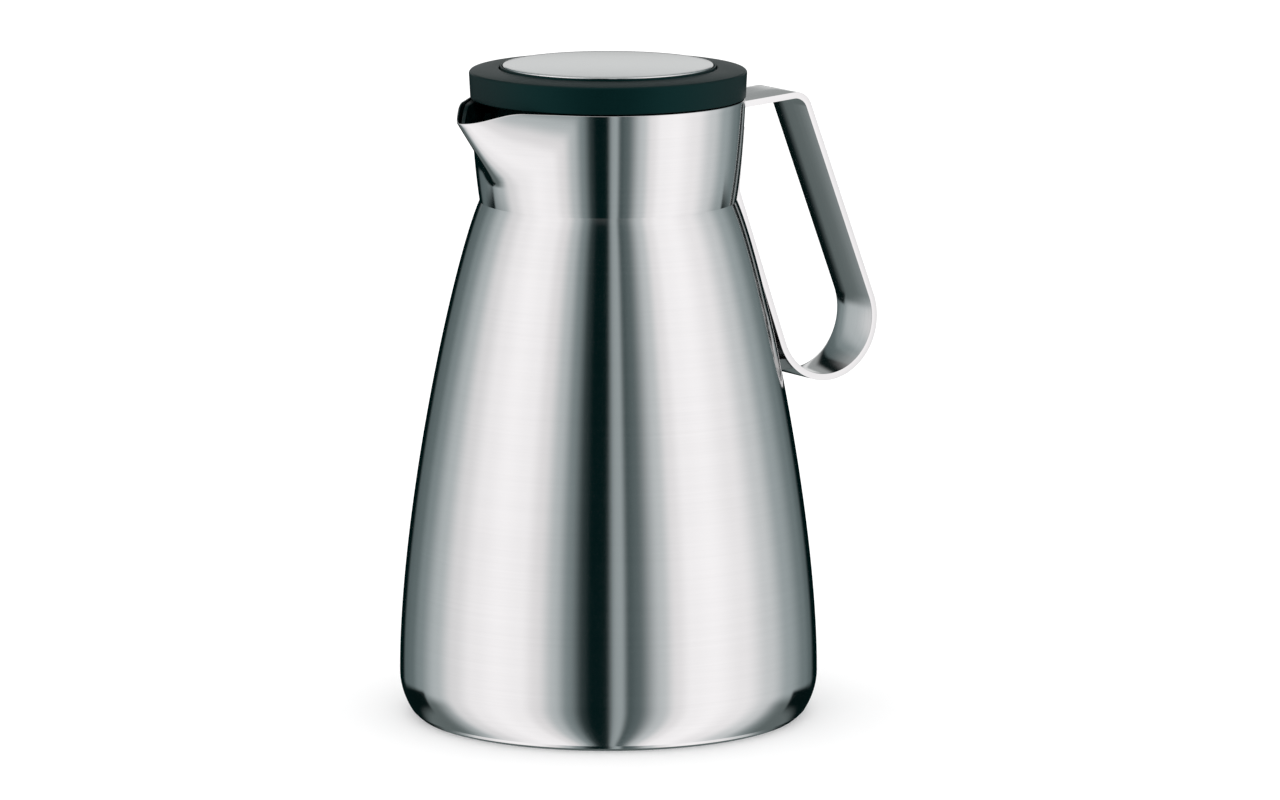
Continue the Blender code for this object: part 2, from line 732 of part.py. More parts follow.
# ---- the lid -------------------------------------------------------------------------------------
def lid_ring(plastic, lid):
    """Black ring that the hand turns; it clips over the stopper's flange."""
    top_radius = RIM_RADIUS + LID_OVERHANG
    crown = LID_TOP + LID_CROWN
    inner = RIM_RADIUS - LID_WALL
    flange_top = STOPPER_FLANGE + LID_SEAT + FIT * 2
    outline = [
        (BORE_RADIUS, flange_top),
        (BORE_RADIUS, crown - LID_EDGE),
        (BORE_RADIUS + LID_EDGE, crown),
    ]
    outline += arc((top_radius - LID_EDGE, LID_TOP - LID_EDGE), LID_EDGE, 90, 0, 4)
    outline += [
        (RIM_RADIUS, LID_SEAT),
        (inner, LID_SEAT),
        (inner, LID_TOP - LID_WALL),
        (BORE_RADIUS + BORE_WALL, LID_TOP - LID_WALL + LID_EDGE),
        (BORE_RADIUS + BORE_WALL, flange_top),
    ]
    turned("lid_ring", outline, plastic, lid)


def stopper_body(plastic, lid):
    """Threaded stopper: a well for the button above a chamber that the drink flows through."""
    flange_under = LID_SEAT + FIT / 2
    flange_top = STOPPER_FLANGE + LID_SEAT + FIT
    stem_hole = STEM_RADIUS + FIT
    ceiling = WELL_FLOOR - FLOOR_THICKNESS
    ledge = SPIGOT_INNER - LEDGE_WIDTH
    pocket = SEAL_TOP - SEAL_HEIGHT - FIT
    outline = [
        (RIM_RADIUS - FLANGE_INSET, flange_top),
        (RIM_RADIUS - FLANGE_INSET, flange_under),
        (STOPPER_RADIUS, flange_under),
        (STOPPER_RADIUS, SHOULDER),
        (SPIGOT_RADIUS, SHOULDER),
        (SPIGOT_RADIUS, SPIGOT_END),
        (SPIGOT_INNER, SPIGOT_END),
        (SPIGOT_INNER, LEDGE_UNDER),
        (ledge, LEDGE_UNDER),
        (ledge, LEDGE_UNDER + LEDGE_HEIGHT),
        (WELL_RADIUS, LEDGE_UNDER + 2 * LEDGE_HEIGHT),
        (WELL_RADIUS, ceiling),
        (GUIDE_RADIUS, ceiling),
        (GUIDE_RADIUS, ceiling - GUIDE_LENGTH),
        (stem_hole, ceiling - GUIDE_LENGTH),
        (stem_hole, pocket),
        (SEAL_POCKET, pocket),
        (SEAL_POCKET, WELL_FLOOR),
        (WELL_RADIUS, WELL_FLOOR),
        (WELL_RADIUS, flange_top),
    ]
    stopper = turned("stopper_body", outline, plastic, lid)
    root = STOPPER_RADIUS - STOPPER_WALL / 2
    top = -THREAD_TOP - THREAD_HEIGHT - FIT
    combine(stopper, thread_ribs(root, RIB_OUTER, top, lid, plastic), "UNION")
    combine(stopper, outlets(plastic, lid), "DIFFERENCE")


def outlets(finish, lid):
    """Cutters for the windows between the thread's ribs, where the drink leaves the stopper."""
    low = LEDGE_UNDER + OUTLET_RISE
    inner = WELL_RADIUS - STOPPER_WALL
    steps = round(OUTLET_ANGLE / OUTLET_STEP)
    cutters = []
    for start in range(THREAD_STARTS):
        middle = 360 / THREAD_STARTS * start
        sections = []
        for i in range(steps + 1):
            turn = math.radians(middle + OUTLET_ANGLE * (i / steps - 0.5))
            sections.append(ring_section(turn, inner, INSERT_BORE, low, low + OUTLET_HEIGHT))
        cutters.append(bar(f"outlet_{start}", sections, finish, lid))
    return cutters


def stopper_gasket(silicone, lid):
    """Ring on the stopper's spigot that seals on the flask's flange."""
    inner = SPIGOT_RADIUS + FIT
    outer = inner + GASKET_WIDTH
    low = FLANGE_TOP + FIT
    outline = [
        (inner, low + GASKET_HEIGHT),
        (outer, low + GASKET_HEIGHT),
        (outer, low + GASKET_HEIGHT / 3),
        (outer - GASKET_WIDTH / 4, low),
        (inner, low),
    ]
    turned("stopper_gasket", outline, silicone, lid)


def valve_seat(plastic, lid):
    """Plate in the stopper's lower end, with the hole that the valve closes."""
    outer = SPIGOT_INNER - FIT
    outline = [
        (VALVE_BORE, PLATE_TOP),
        (outer, PLATE_TOP),
        (outer, PLATE_UNDER),
        (VALVE_BORE + VALVE_RIDGE_WIDTH, PLATE_UNDER),
        (VALVE_BORE + VALVE_RIDGE_WIDTH, RIDGE_END),
        (VALVE_BORE, RIDGE_END),
    ]
    turned("valve_seat", outline, plastic, lid, FINE)


def washer(name, inner, outer, low, high, finish, parent, facets=SMALL):
    outline = [(inner, high), (outer, high), (outer, low), (inner, low)]
    return turned(name, outline, finish, parent, facets)


def return_spring(steel, lid):
    """Coil spring under the carrier, a quarter compressed at rest."""
    low = SEAT_TOP + FIT + SPRING_WIRE / 2
    high = CARRIER_UNDER - FIT - SPRING_WIRE / 2
    steps = SPRING_TURNS * SPRING_POINTS
    curve = bpy.data.curves.new("return_spring", "CURVE")
    curve.dimensions = "3D"
    curve.bevel_depth = SPRING_WIRE / 2
    curve.bevel_resolution = 1
    curve.use_fill_caps = True
    spline = curve.splines.new("POLY")
    spline.points.add(steps)
    for i in range(steps + 1):
        turn = 2 * math.pi * SPRING_TURNS * i / steps
        height = low + (high - low) * i / steps
        x = SPRING_RADIUS * math.cos(turn)
        y = SPRING_RADIUS * math.sin(turn)
        spline.points[i].co = (x, y, height, 1.0)
    curve.materials.append(steel)
    spring = bpy.data.objects.new("return_spring", curve)
    spring.parent = lid
    bpy.context.collection.objects.link(spring)


# ---- the button and the valve --------------------------------------------------------------------
def button_disc(steel, button):
    """Slightly domed steel disc that the thumb presses."""
    crown = DISC_EDGE + DISC_DOME
    under = DISC_EDGE - DISC_THICKNESS
    outline = bezier([(0.0, crown), (DISC_RADIUS / 2, crown), (DISC_RADIUS, DISC_EDGE)], 6)
    outline += [(DISC_RADIUS, under), (0.0, under)]
    turned("button_disc", outline, steel, button)


def button_carrier(plastic, button):
    """Black cup under the disc; its boss holds the valve stem."""
    lip_top = DISC_EDGE - DISC_THICKNESS / 2
    stem_hole = STEM_RADIUS + FIT
    outline = [
        (0.0, CARRIER_TOP),
        (CARRIER_RADIUS - CARRIER_LIP, CARRIER_TOP),
        (CARRIER_RADIUS - CARRIER_LIP, lip_top),
        (CARRIER_RADIUS, lip_top),
        (CARRIER_RADIUS, SKIRT_END),
        (CARRIER_RADIUS - CARRIER_WALL, SKIRT_END),
        (CARRIER_RADIUS - CARRIER_WALL, CARRIER_UNDER),
        (CARRIER_BOSS_RADIUS, CARRIER_UNDER),
        (CARRIER_BOSS_RADIUS, BOSS_END),
        (stem_hole, BOSS_END),
        (stem_hole, CARRIER_UNDER),
        (0.0, CARRIER_UNDER),
    ]
    turned("button_carrier", outline, plastic, button)


def valve_stem(steel, button):
    """Rod from the button's boss down to the valve, with a collar and a groove for its clip."""
    collar_low = PILOT_TOP + FIT
    collar_high = collar_low + STEM_COLLAR_HEIGHT
    groove = STEM_RADIUS - 2 * FIT
    outline = [
        (0.0, CARRIER_UNDER - FIT),
        (STEM_RADIUS, CARRIER_UNDER - FIT),
        (STEM_RADIUS, collar_high),
        (STEM_COLLAR, collar_high),
        (STEM_COLLAR, collar_low),
        (STEM_RADIUS, collar_low),
        (STEM_RADIUS, CLIP_TOP + FIT / 2),
        (groove, CLIP_TOP + FIT / 2),
        (groove, CLIP_TOP - CLIP_THICKNESS - FIT),
        (STEM_RADIUS, CLIP_TOP - CLIP_THICKNESS - FIT),
        (STEM_RADIUS, STEM_BOTTOM),
        (0.0, STEM_BOTTOM),
    ]
    turned("valve_stem", outline, steel, button, SMALL)


def valve_disc(plastic, button):
    """Plate that the spring pulls up against the seat; its pilot centres it in the hole."""
    hole = STEM_RADIUS + FIT
    outline = [
        (hole, PILOT_TOP),
        (PILOT_RADIUS, PILOT_TOP),
        (PILOT_RADIUS, VALVE_TOP),
        (VALVE_RADIUS, VALVE_TOP),
        (VALVE_RADIUS, VALVE_TOP - VALVE_THICKNESS),
        (VALVE_HUB, VALVE_TOP - VALVE_THICKNESS),
        (VALVE_HUB, HUB_END),
        (hole, HUB_END),
    ]
    turned("valve_disc", outline, plastic, button, FINE)


def stem_clip(steel, button):
    """Open spring clip in the stem's groove, under the valve."""
    inner = STEM_RADIUS - FIT
    low = CLIP_TOP - CLIP_THICKNESS
    clip = washer("stem_clip", inner, CLIP_RADIUS, low, CLIP_TOP, steel, button)
    half = CLIP_MOUTH / 2
    sections = []
    for x in (0.0, CLIP_RADIUS * 2):
        corners = ((-half, low - FIT), (half, low - FIT), (half, CLIP_TOP + FIT), (-half, CLIP_TOP + FIT))
        sections.append([(x, y, z) for y, z in corners])
    combine(clip, [bar("clip_mouth", sections, steel, button)], "DIFFERENCE")


def main():
    clear_scene()
    brushed = material("brushed_steel", (0.62, 0.63, 0.64), 0.32, 1.0)
    bright = material("bright_steel", (0.72, 0.73, 0.74), 0.22, 1.0)
    inner = material("inner_steel", (0.55, 0.56, 0.57), 0.30, 1.0)
    black = material("black_plastic", (0.020, 0.035, 0.034), 0.45, 0.0)
    silicone = material("silicone", (0.55, 0.56, 0.55), 0.60, 0.0)
    rubber = material("black_rubber", (0.015, 0.015, 0.015), 0.80, 0.0)

    jug = frame("jug", 0.0)
    lid = frame("lid", RIM_HEIGHT, jug)
    button = frame("button", 0.0, lid)

    body_shell(brushed, jug)
    neck_collar(brushed, jug)
    recess = base_plate(brushed, jug)
    base_cover(rubber, jug, recess)
    vacuum_seal(inner, jug)
    weld = inner_flask(inner, jug)
    flask_base(inner, jug, weld)
    getter_capsule(inner, jug)
    neck_insert(black, jug)
    insert_gasket(silicone, jug)
    loop = handle_strap(bright, jug)
    handle_stay(bright, jug, loop)

    lid_ring(black, lid)
    stopper_body(black, lid)
    stopper_gasket(silicone, lid)
    valve_seat(black, lid)
    seal_inner = STEM_RADIUS + FIT
    seal_low = SEAL_TOP - SEAL_HEIGHT
    washer("stem_seal", seal_inner, seal_inner + SEAL_WIDTH, seal_low, SEAL_TOP, silicone, lid)
    washer("spring_seat", STEM_RADIUS + 2 * FIT, SEAT_RADIUS, WELL_FLOOR + FIT, SEAT_TOP, bright, lid)
    return_spring(bright, lid)

    button_disc(bright, button)
    button_carrier(black, button)
    valve_stem(bright, button)
    valve_disc(black, button)
    seal_hole = PILOT_RADIUS + FIT
    seal_under = VALVE_SEAL_TOP - VALVE_SEAL_HEIGHT
    washer("valve_seal", seal_hole, VALVE_RADIUS, seal_under, VALVE_SEAL_TOP, silicone, button, FINE)
    stem_clip(bright, button)


main()
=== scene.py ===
"""Looks of a push-to-pour vacuum jug: brushed steel shell, pressed spout, strip handle, black screw lid.

Metres, +Z up. The origin is the middle of the standing face, the spout points along -X and the handle
along +X. Sections follow the jug as it is put together, from the camera and lights to the button.
"""

import math

import bpy
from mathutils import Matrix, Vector


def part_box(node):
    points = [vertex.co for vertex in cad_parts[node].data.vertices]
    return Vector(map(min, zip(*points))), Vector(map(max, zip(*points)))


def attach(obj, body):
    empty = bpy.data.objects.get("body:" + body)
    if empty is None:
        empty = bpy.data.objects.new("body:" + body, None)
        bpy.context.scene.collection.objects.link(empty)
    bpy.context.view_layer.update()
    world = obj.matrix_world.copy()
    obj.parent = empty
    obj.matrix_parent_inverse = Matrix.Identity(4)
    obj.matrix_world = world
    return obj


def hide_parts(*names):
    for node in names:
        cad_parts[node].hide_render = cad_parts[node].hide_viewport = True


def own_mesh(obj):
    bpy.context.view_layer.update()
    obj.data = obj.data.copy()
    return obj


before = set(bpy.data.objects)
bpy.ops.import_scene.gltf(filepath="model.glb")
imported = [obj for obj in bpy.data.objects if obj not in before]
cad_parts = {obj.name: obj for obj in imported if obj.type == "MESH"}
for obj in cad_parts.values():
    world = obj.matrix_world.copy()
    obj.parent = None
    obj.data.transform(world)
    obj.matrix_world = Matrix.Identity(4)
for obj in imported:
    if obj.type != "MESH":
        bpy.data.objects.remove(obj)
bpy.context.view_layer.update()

# ---- camera --------------------------------------------------------------------------------------
# A long lens about two and a half metres away, a little above the lid, on the spout's side of the
# jug. It aims slightly past the jug's axis, towards the handle.
CAMERA_DISTANCE = 2.4451
CAMERA_HEIGHT = 0.5362
CAMERA_SIDE = math.radians(-33.5)
CAMERA_PITCH = math.radians(-9.97)
CAMERA_AIM = math.radians(-0.25)

lens = bpy.data.cameras.new("camera")
lens.lens = 207.4
lens.sensor_width = 36.0
lens.clip_start = 0.1
lens.clip_end = 50.0
camera = bpy.data.objects.new("camera", lens)
camera.location = (
    CAMERA_DISTANCE * math.sin(CAMERA_SIDE),
    -CAMERA_DISTANCE * math.cos(CAMERA_SIDE),
    CAMERA_HEIGHT,
)
camera.rotation_euler = (math.pi / 2 + CAMERA_PITCH, 0.0, CAMERA_SIDE + CAMERA_AIM)
bpy.context.scene.collection.objects.link(camera)
bpy.context.scene.camera = camera
bpy.context.scene.view_settings.view_transform = "Standard"

# ---- studio --------------------------------------------------------------------------------------
# A white sweep lit by an even dome. Steel mirrors two large softboxes, left and right of the camera,
# with a dark gap between them in which one narrow strip light hangs, and black flags behind the jug.
# Each stop is an angle round the jug from the camera, to the right, and the light that comes from it.
DOME_LIGHT = 1.30
SOFTBOX_STOPS = (
    (-180, 0.006),
    (-158, 0.006),
    (-151, 0.165),
    (-140, 0.205),
    (-128, 0.36),
    (-110, 0.70),
    (-95, 1.06),
    (-80, 1.30),
    (-64, 1.41),
    (-50, 1.35),
    (-40, 1.12),
    (-30, 0.72),
    (-22, 0.34),
    (-14, 0.05),
    (-10, 0.012),
    (-1, 0.012),
    (4, 0.50),
    (7, 0.54),
    (11, 0.12),
    (16, 0.18),
    (30, 0.81),
    (38, 1.17),
    (47, 1.38),
    (60, 1.43),
    (80, 1.26),
    (100, 0.89),
    (118, 0.53),
    (138, 0.27),
    (149, 0.17),
    (157, 0.006),
    (180, 0.006),
)
DIM_TINT = (0.80, 1.03, 1.06)
FULL_TINT = (1.01, 0.99, 1.0)
FULL_LEVEL = 1.1
BLACK_RED = 0.008  # taken off the red, so that the flags look green-black
BACKDROP_LIGHT = (0.84, 0.85, 0.85)  # seen by what faces up, past the flags
HIGH_WALL_LIGHT = (0.40, 0.42, 0.42)  # above the backdrop
TABLE_LIGHT = (0.16, 0.195, 0.195)  # from a little below, behind the jug
TABLE_BLACK = (0.002, 0.008, 0.008)  # the black flags' lower part
OVERHEAD_LIGHT = (0.90, 0.90, 0.90)
FLOOR_SIZE = 12.0

world = bpy.data.worlds.new("studio")
bpy.context.scene.world = world
world.use_nodes = True
world.cycles.sampling_method = "NONE"
nodes = world.node_tree.nodes
links = world.node_tree.links
nodes.clear()


def maths(tree, operation, *values):
    """A Math node whose inputs are numbers or other nodes' outputs; gives its output."""
    node = tree.nodes.new("ShaderNodeMath")
    node.operation = operation
    for socket, value in zip(node.inputs, values):
        if isinstance(value, (int, float)):
            socket.default_value = value
        else:
            tree.links.new(value, socket)
    return node.outputs[0]


def fade(tree, value, start, end):
    """A Map Range node that goes smoothly from 0 at start to 1 at end."""
    node = tree.nodes.new("ShaderNodeMapRange")
    node.interpolation_type = "SMOOTHSTEP"
    node.inputs["From Min"].default_value = start
    node.inputs["From Max"].default_value = end
    tree.links.new(value, node.inputs["Value"])
    return node.outputs["Result"]


def mixed(tree, share, first, second):
    """A colour Mix node between colours or other nodes' outputs; share is 0 for the first."""
    node = tree.nodes.new("ShaderNodeMix")
    node.data_type = "RGBA"
    for name, value in (("Factor_Float", share), ("A_Color", first), ("B_Color", second)):
        socket = next(entry for entry in node.inputs if entry.identifier == name)
        if isinstance(value, tuple):
            socket.default_value = (*value, 1.0)
        elif isinstance(value, (int, float)):
            socket.default_value = value
        else:
            tree.links.new(value, socket)
    return next(entry for entry in node.outputs if entry.identifier == "Result_Color")


direction = nodes.new("ShaderNodeTexCoord").outputs["Generated"]
turn = nodes.new("ShaderNodeMapping")
turn.inputs["Rotation"].default_value = (0.0, 0.0, -CAMERA_SIDE)
links.new(direction, turn.inputs["Vector"])
split = nodes.new("ShaderNodeSeparateXYZ")
links.new(turn.outputs[0], split.inputs[0])
tree = world.node_tree
around = maths(tree, "ARCTAN2", split.outputs["X"], maths(tree, "MULTIPLY", split.outputs["Y"], -1.0))
share = maths(tree, "MULTIPLY_ADD", around, 1 / (2 * math.pi), 0.5)
boxes = nodes.new("ShaderNodeValToRGB")
boxes.color_ramp.interpolation = "EASE"
stops = boxes.color_ramp.elements
for i, (angle, level) in enumerate(SOFTBOX_STOPS):
    place = angle / 360 + 0.5
    stop = stops[0] if i == 0 else stops[-1] if i == len(SOFTBOX_STOPS) - 1 else stops.new(place)
    full = min(1.0, level / FULL_LEVEL)
    red, green, blue = (level * (dim + (bright - dim) * full) for dim, bright in zip(DIM_TINT, FULL_TINT))
    stop.position = place
    stop.color = (max(0.0, red - BLACK_RED), green, blue, 1.0)
links.new(share, boxes.inputs["Fac"])
height = split.outputs["Z"]
backdrop = mixed(tree, fade(tree, height, 0.185, 0.213), BACKDROP_LIGHT, HIGH_WALL_LIGHT)
behind = maths(tree, "MULTIPLY", fade(tree, height, 0.0, 0.11), fade(tree, split.outputs["Y"], 0.86, 0.93))
walls = mixed(tree, behind, boxes.outputs["Color"], backdrop)
depth = maths(tree, "MULTIPLY", height, -1.0)
below = maths(tree, "MULTIPLY", fade(tree, depth, 0.24, 0.42), fade(tree, split.outputs["Y"], 0.1, 0.5))
table = mixed(tree, below, walls, TABLE_LIGHT)
flags = maths(tree, "MULTIPLY", fade(tree, depth, 0.22, 0.28), fade(tree, split.outputs["Y"], 0.52, 0.57))
flags = maths(tree, "MULTIPLY", flags, fade(tree, height, -0.52, -0.40))
floored = mixed(tree, flags, table, TABLE_BLACK)
studio = mixed(tree, fade(tree, height, 0.55, 0.9), floored, OVERHEAD_LIGHT)
path = nodes.new("ShaderNodeLightPath")
dome = nodes.new("ShaderNodeBackground")
dome.inputs["Color"].default_value = (1.0, 1.0, 1.0, 1.0)
dome.inputs["Strength"].default_value = DOME_LIGHT
softboxes = nodes.new("ShaderNodeBackground")
links.new(studio, softboxes.inputs["Color"])
choice = nodes.new("ShaderNodeMixShader")
links.new(path.outputs["Is Glossy Ray"], choice.inputs[0])
links.new(dome.outputs[0], choice.inputs[1])
links.new(softboxes.outputs[0], choice.inputs[2])
links.new(choice.outputs[0], nodes.new("ShaderNodeOutputWorld").inputs["Surface"])

bpy.ops.object.select_all(action="DESELECT")
bpy.ops.mesh.primitive_plane_add(size=FLOOR_SIZE, location=(0.0, 0.0, 0.0))
floor = bpy.context.object
floor.name = "floor"
floor.visible_glossy = False
paper = bpy.data.materials.new("floor_paper")
paper.use_nodes = True
shader = paper.node_tree.nodes["Principled BSDF"]
shader.inputs["Roughness"].default_value = 0.9
shader.inputs["Specular IOR Level"].default_value = 0.0
grain = paper.node_tree.nodes.new("ShaderNodeTexNoise")
grain.inputs["Scale"].default_value = 3.0
white = mixed(paper.node_tree, grain.outputs["Fac"], (0.93, 0.93, 0.93), (0.95, 0.95, 0.95))
paper.node_tree.links.new(white, shader.inputs["Base Color"])
floor.data.materials.append(paper)

# ---- body shell ----------------------------------------------------------------------------------
# Outer shell, drawn and spun from 0.8 mm stainless sheet. It is brushed on the lathe, so the fine
# lines run round it. Its upper edge is welded to the collar at the waist.
WALL = 0.0008
WAIST_RADIUS = 0.0431
SHOULDER_DROP = 0.0207
SHOULDER_FLARE = 0.0091
BELLY_HEIGHT = 0.0143
BELLY_RISE = 0.0531
FOOT_INSET = 0.0037
FOOT_ROUNDING = 0.0080
STEEL = (0.62, 0.615, 0.615)
FIT = 0.0003

shell_low, shell_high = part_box("body_shell")
FOOT_STEP = shell_low.z
WAIST_HEIGHT = shell_high.z
BODY_RADIUS = shell_high.x


def bezier(ends, count):
    """Points along the Bezier curve that a list of (radius, height) control points gives."""
    points = []
    degree = len(ends) - 1
    for i in range(count + 1):
        t = i / count
        weights = [math.comb(degree, k) * t**k * (1 - t) ** (degree - k) for k in range(degree + 1)]
        points.append(tuple(sum(w * p[axis] for w, p in zip(weights, ends)) for axis in (0, 1)))
    return points


def draw(name, outline, across=0.0):
    """A wire of vertices through (x, z) points, at y = across, as an object in edit mode."""
    bpy.ops.object.select_all(action="DESELECT")
    x, z = outline[0]
    bpy.ops.mesh.primitive_plane_add(size=WALL, location=(x, across, z))
    drawn = bpy.context.object
    drawn.name = drawn.data.name = name
    bpy.ops.object.transform_apply(location=True, rotation=False, scale=False)
    bpy.ops.object.mode_set(mode="EDIT")
    bpy.ops.mesh.select_all(action="SELECT")
    bpy.ops.mesh.merge(type="CENTER")
    for start, end in zip(outline, outline[1:]):
        step = (end[0] - start[0], 0.0, end[1] - start[1])
        bpy.ops.mesh.extrude_vertices_move(TRANSFORM_OT_translate={"value": step})
    bpy.ops.mesh.select_all(action="SELECT")
    return drawn


def spun(name, outline, steps=160, closed=True):
    """A piece spun about the jug's axis from a (radius, height) outline."""
    turned = draw(name, outline + outline[:1] if closed else outline)
    bpy.ops.mesh.remove_doubles(threshold=1e-6)
    bpy.ops.mesh.spin(steps=steps, angle=2 * math.pi, center=(0, 0, 0), axis=(0, 0, 1))
    bpy.ops.mesh.select_all(action="SELECT")
    bpy.ops.mesh.remove_doubles(threshold=1e-6)
    bpy.ops.mesh.delete_loose()
    bpy.ops.mesh.select_all(action="SELECT")
    bpy.ops.mesh.normals_make_consistent(inside=False)
    bpy.ops.object.mode_set(mode="OBJECT")
    return turned


def with_bevel(piece, width, segments=3, angle=35.0):
    """Rounds a piece's sharp edges."""
    bevel = piece.modifiers.new("edges", "BEVEL")
    bevel.width = width
    bevel.segments = segments
    bevel.limit_method = "ANGLE"
    bevel.angle_limit = math.radians(angle)
    bpy.context.view_layer.objects.active = piece
    bpy.ops.object.modifier_apply(modifier=bevel.name)
    return piece


def done(piece, finish, body, slot, *nodes):
    """Gives a new piece its finish and smooth faces, and sets it on its body in place of CAD nodes."""
    bpy.ops.object.select_all(action="DESELECT")
    piece.select_set(True)
    bpy.context.view_layer.objects.active = piece
    bpy.ops.object.shade_smooth_by_angle(angle=math.radians(32))
    piece.data.materials.clear()
    piece.data.materials.append(finish)
    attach(piece, body)
    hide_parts(*nodes)
    return piece


def brushed_steel(name, colour, lines, roughness, depth, wear=0.05):
    """Steel with brush lines: lines gives how fine the pattern is along X, Y and Z, per metre."""
    finish = bpy.data.materials.new(name)
    finish.use_nodes = True
    tree = finish.node_tree
    shader = tree.nodes["Principled BSDF"]
    shader.inputs["Metallic"].default_value = 1.0
    place = tree.nodes.new("ShaderNodeTexCoord").outputs["Object"]
    layers = []
    for finer in (1.0, 0.37):
        stretch = tree.nodes.new("ShaderNodeMapping")
        stretch.inputs["Scale"].default_value = [line * finer for line in lines]
        tree.links.new(place, stretch.inputs["Vector"])
        noise = tree.nodes.new("ShaderNodeTexNoise")
        noise.inputs["Scale"].default_value = 1.0
        noise.inputs["Detail"].default_value = 2.0
        tree.links.new(stretch.outputs[0], noise.inputs["Vector"])
        layers.append(noise.outputs["Fac"])
    scratches = maths(tree, "MULTIPLY_ADD", layers[1], 0.6, maths(tree, "MULTIPLY", layers[0], 0.4))
    cloud = tree.nodes.new("ShaderNodeTexNoise")
    cloud.inputs["Scale"].default_value = 28.0
    tree.links.new(place, cloud.inputs["Vector"])
    level = maths(tree, "MULTIPLY_ADD", cloud.outputs["Fac"], 0.35, maths(tree, "MULTIPLY", scratches, 0.65))
    dark = tuple(channel * (1 - wear) for channel in colour)
    light = tuple(min(1.0, channel * (1 + wear)) for channel in colour)
    tree.links.new(mixed(tree, fade(tree, level, 0.3, 0.7), dark, light), shader.inputs["Base Color"])
    tree.links.new(maths(tree, "MULTIPLY_ADD", level, 0.06, roughness - 0.03), shader.inputs["Roughness"])
    bump = tree.nodes.new("ShaderNodeBump")
    bump.inputs["Strength"].default_value = 1.0
    bump.inputs["Distance"].default_value = depth
    tree.links.new(scratches, bump.inputs["Height"])
    tree.links.new(bump.outputs["Normal"], shader.inputs["Normal"])
    return finish


flank = bezier(
    [
        (WAIST_RADIUS, WAIST_HEIGHT),
        (WAIST_RADIUS + SHOULDER_FLARE, WAIST_HEIGHT - SHOULDER_DROP),
        (BODY_RADIUS, BELLY_HEIGHT + BELLY_RISE),
        (BODY_RADIUS, BELLY_HEIGHT),
    ],
    40,
)
corner = bezier(
    [(BODY_RADIUS, BELLY_HEIGHT), (BODY_RADIUS, FOOT_ROUNDING), (BODY_RADIUS - FOOT_INSET, FOOT_STEP)], 12
)
outside = flank + corner[1:]
inside = [(radius - WALL, height) for radius, height in reversed(outside[::4])]
shell_steel = brushed_steel("brushed_round", STEEL, (26.0, 26.0, 2300.0), 0.085, 0.0000012, 0.02)
body_shell = spun("body_shell_spun", outside + inside, 192)
done(body_shell, shell_steel, "jug", "shell_steel", "body_shell")

# ---- neck collar and spout -----------------------------------------------------------------------
# Collar of the same sheet, welded on at the waist and widening a little to the rim. The spout is
# pressed out of it, and its lip dips below the rim and is polished.
NECK_CURVE_OUT = 0.0020
NECK_CURVE_UP = 0.0134
NECK_FLARE = 0.0029
SPOUT_REACH = 0.0186
SPOUT_DEPTH = 0.0258
SPOUT_NOSE = 0.045
LIP_DROP = 0.0043
LIP_HALF_ANGLE = 22.0

collar_low, collar_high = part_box("neck_collar")
RIM_HEIGHT = collar_high.z
RIM_RADIUS = WAIST_RADIUS + NECK_FLARE

neck = bezier(
    [
        (WAIST_RADIUS, WAIST_HEIGHT),
        (WAIST_RADIUS + NECK_CURVE_OUT, WAIST_HEIGHT + NECK_CURVE_UP),
        (RIM_RADIUS, RIM_HEIGHT),
    ],
    24,
)


def arc(centre, radius, start, end, count):
    """Points on an arc about centre, from start to end in radians, 0 being outwards and pi/2 up."""
    angles = [start + (end - start) * i / count for i in range(count + 1)]
    return [(centre[0] + radius * math.cos(a), centre[1] + radius * math.sin(a)) for a in angles]


def spout_share(angle, height):
    """How far the spout stands out at an angle from its middle and a height, from 0 to 1."""
    rise = (height - (RIM_HEIGHT - SPOUT_DEPTH)) / SPOUT_DEPTH
    if rise <= 0:
        return 0.0
    side = math.acos(RIM_RADIUS / (RIM_RADIUS + SPOUT_REACH * rise))
    aside = math.hypot(math.radians(angle), SPOUT_NOSE)
    if aside >= side:
        return 0.0
    return RIM_RADIUS * (1 / math.cos(side - aside) - 1) / SPOUT_REACH


def lip_drop(angle):
    """How far the rim dips at an angle from the spout's middle."""
    if abs(angle) >= LIP_HALF_ANGLE:
        return 0.0
    return LIP_DROP * math.cos(math.pi / 2 * angle / LIP_HALF_ANGLE) ** 2


def press_spout(piece, low, top, ease=1.0):
    """Presses the spout out of a ring in the neck, whose rows between low and top dip with the lip."""
    for vertex in piece.data.vertices:
        point = vertex.co
        radius = math.hypot(point.x, point.y)
        angle = math.degrees(math.atan2(point.y, -point.x))
        point.z -= lip_drop(angle) * (point.z - low) / (top - low)
        radius_now = radius + SPOUT_REACH * spout_share(angle * ease, point.z)
        point.x *= radius_now / radius
        point.y *= radius_now / radius
    piece.data.update()


rim_middle = (RIM_RADIUS - WALL / 2, RIM_HEIGHT - WALL / 2)
neck_wall = [point for point in neck if point[1] < rim_middle[1]]
collar_outline = neck_wall + arc(rim_middle, WALL / 2, 0.0, math.pi, 8)
collar_outline += [(radius - WALL, height) for radius, height in reversed(neck_wall)]
collar = spun("neck_collar_pressed", collar_outline, 288)
press_spout(collar, WAIST_HEIGHT, RIM_HEIGHT)
collar_steel = brushed_steel("brushed_neck", STEEL, (26.0, 26.0, 2600.0), 0.080, 0.0000010, 0.02)
done(collar, collar_steel, "jug", "shell_steel", "neck_collar")

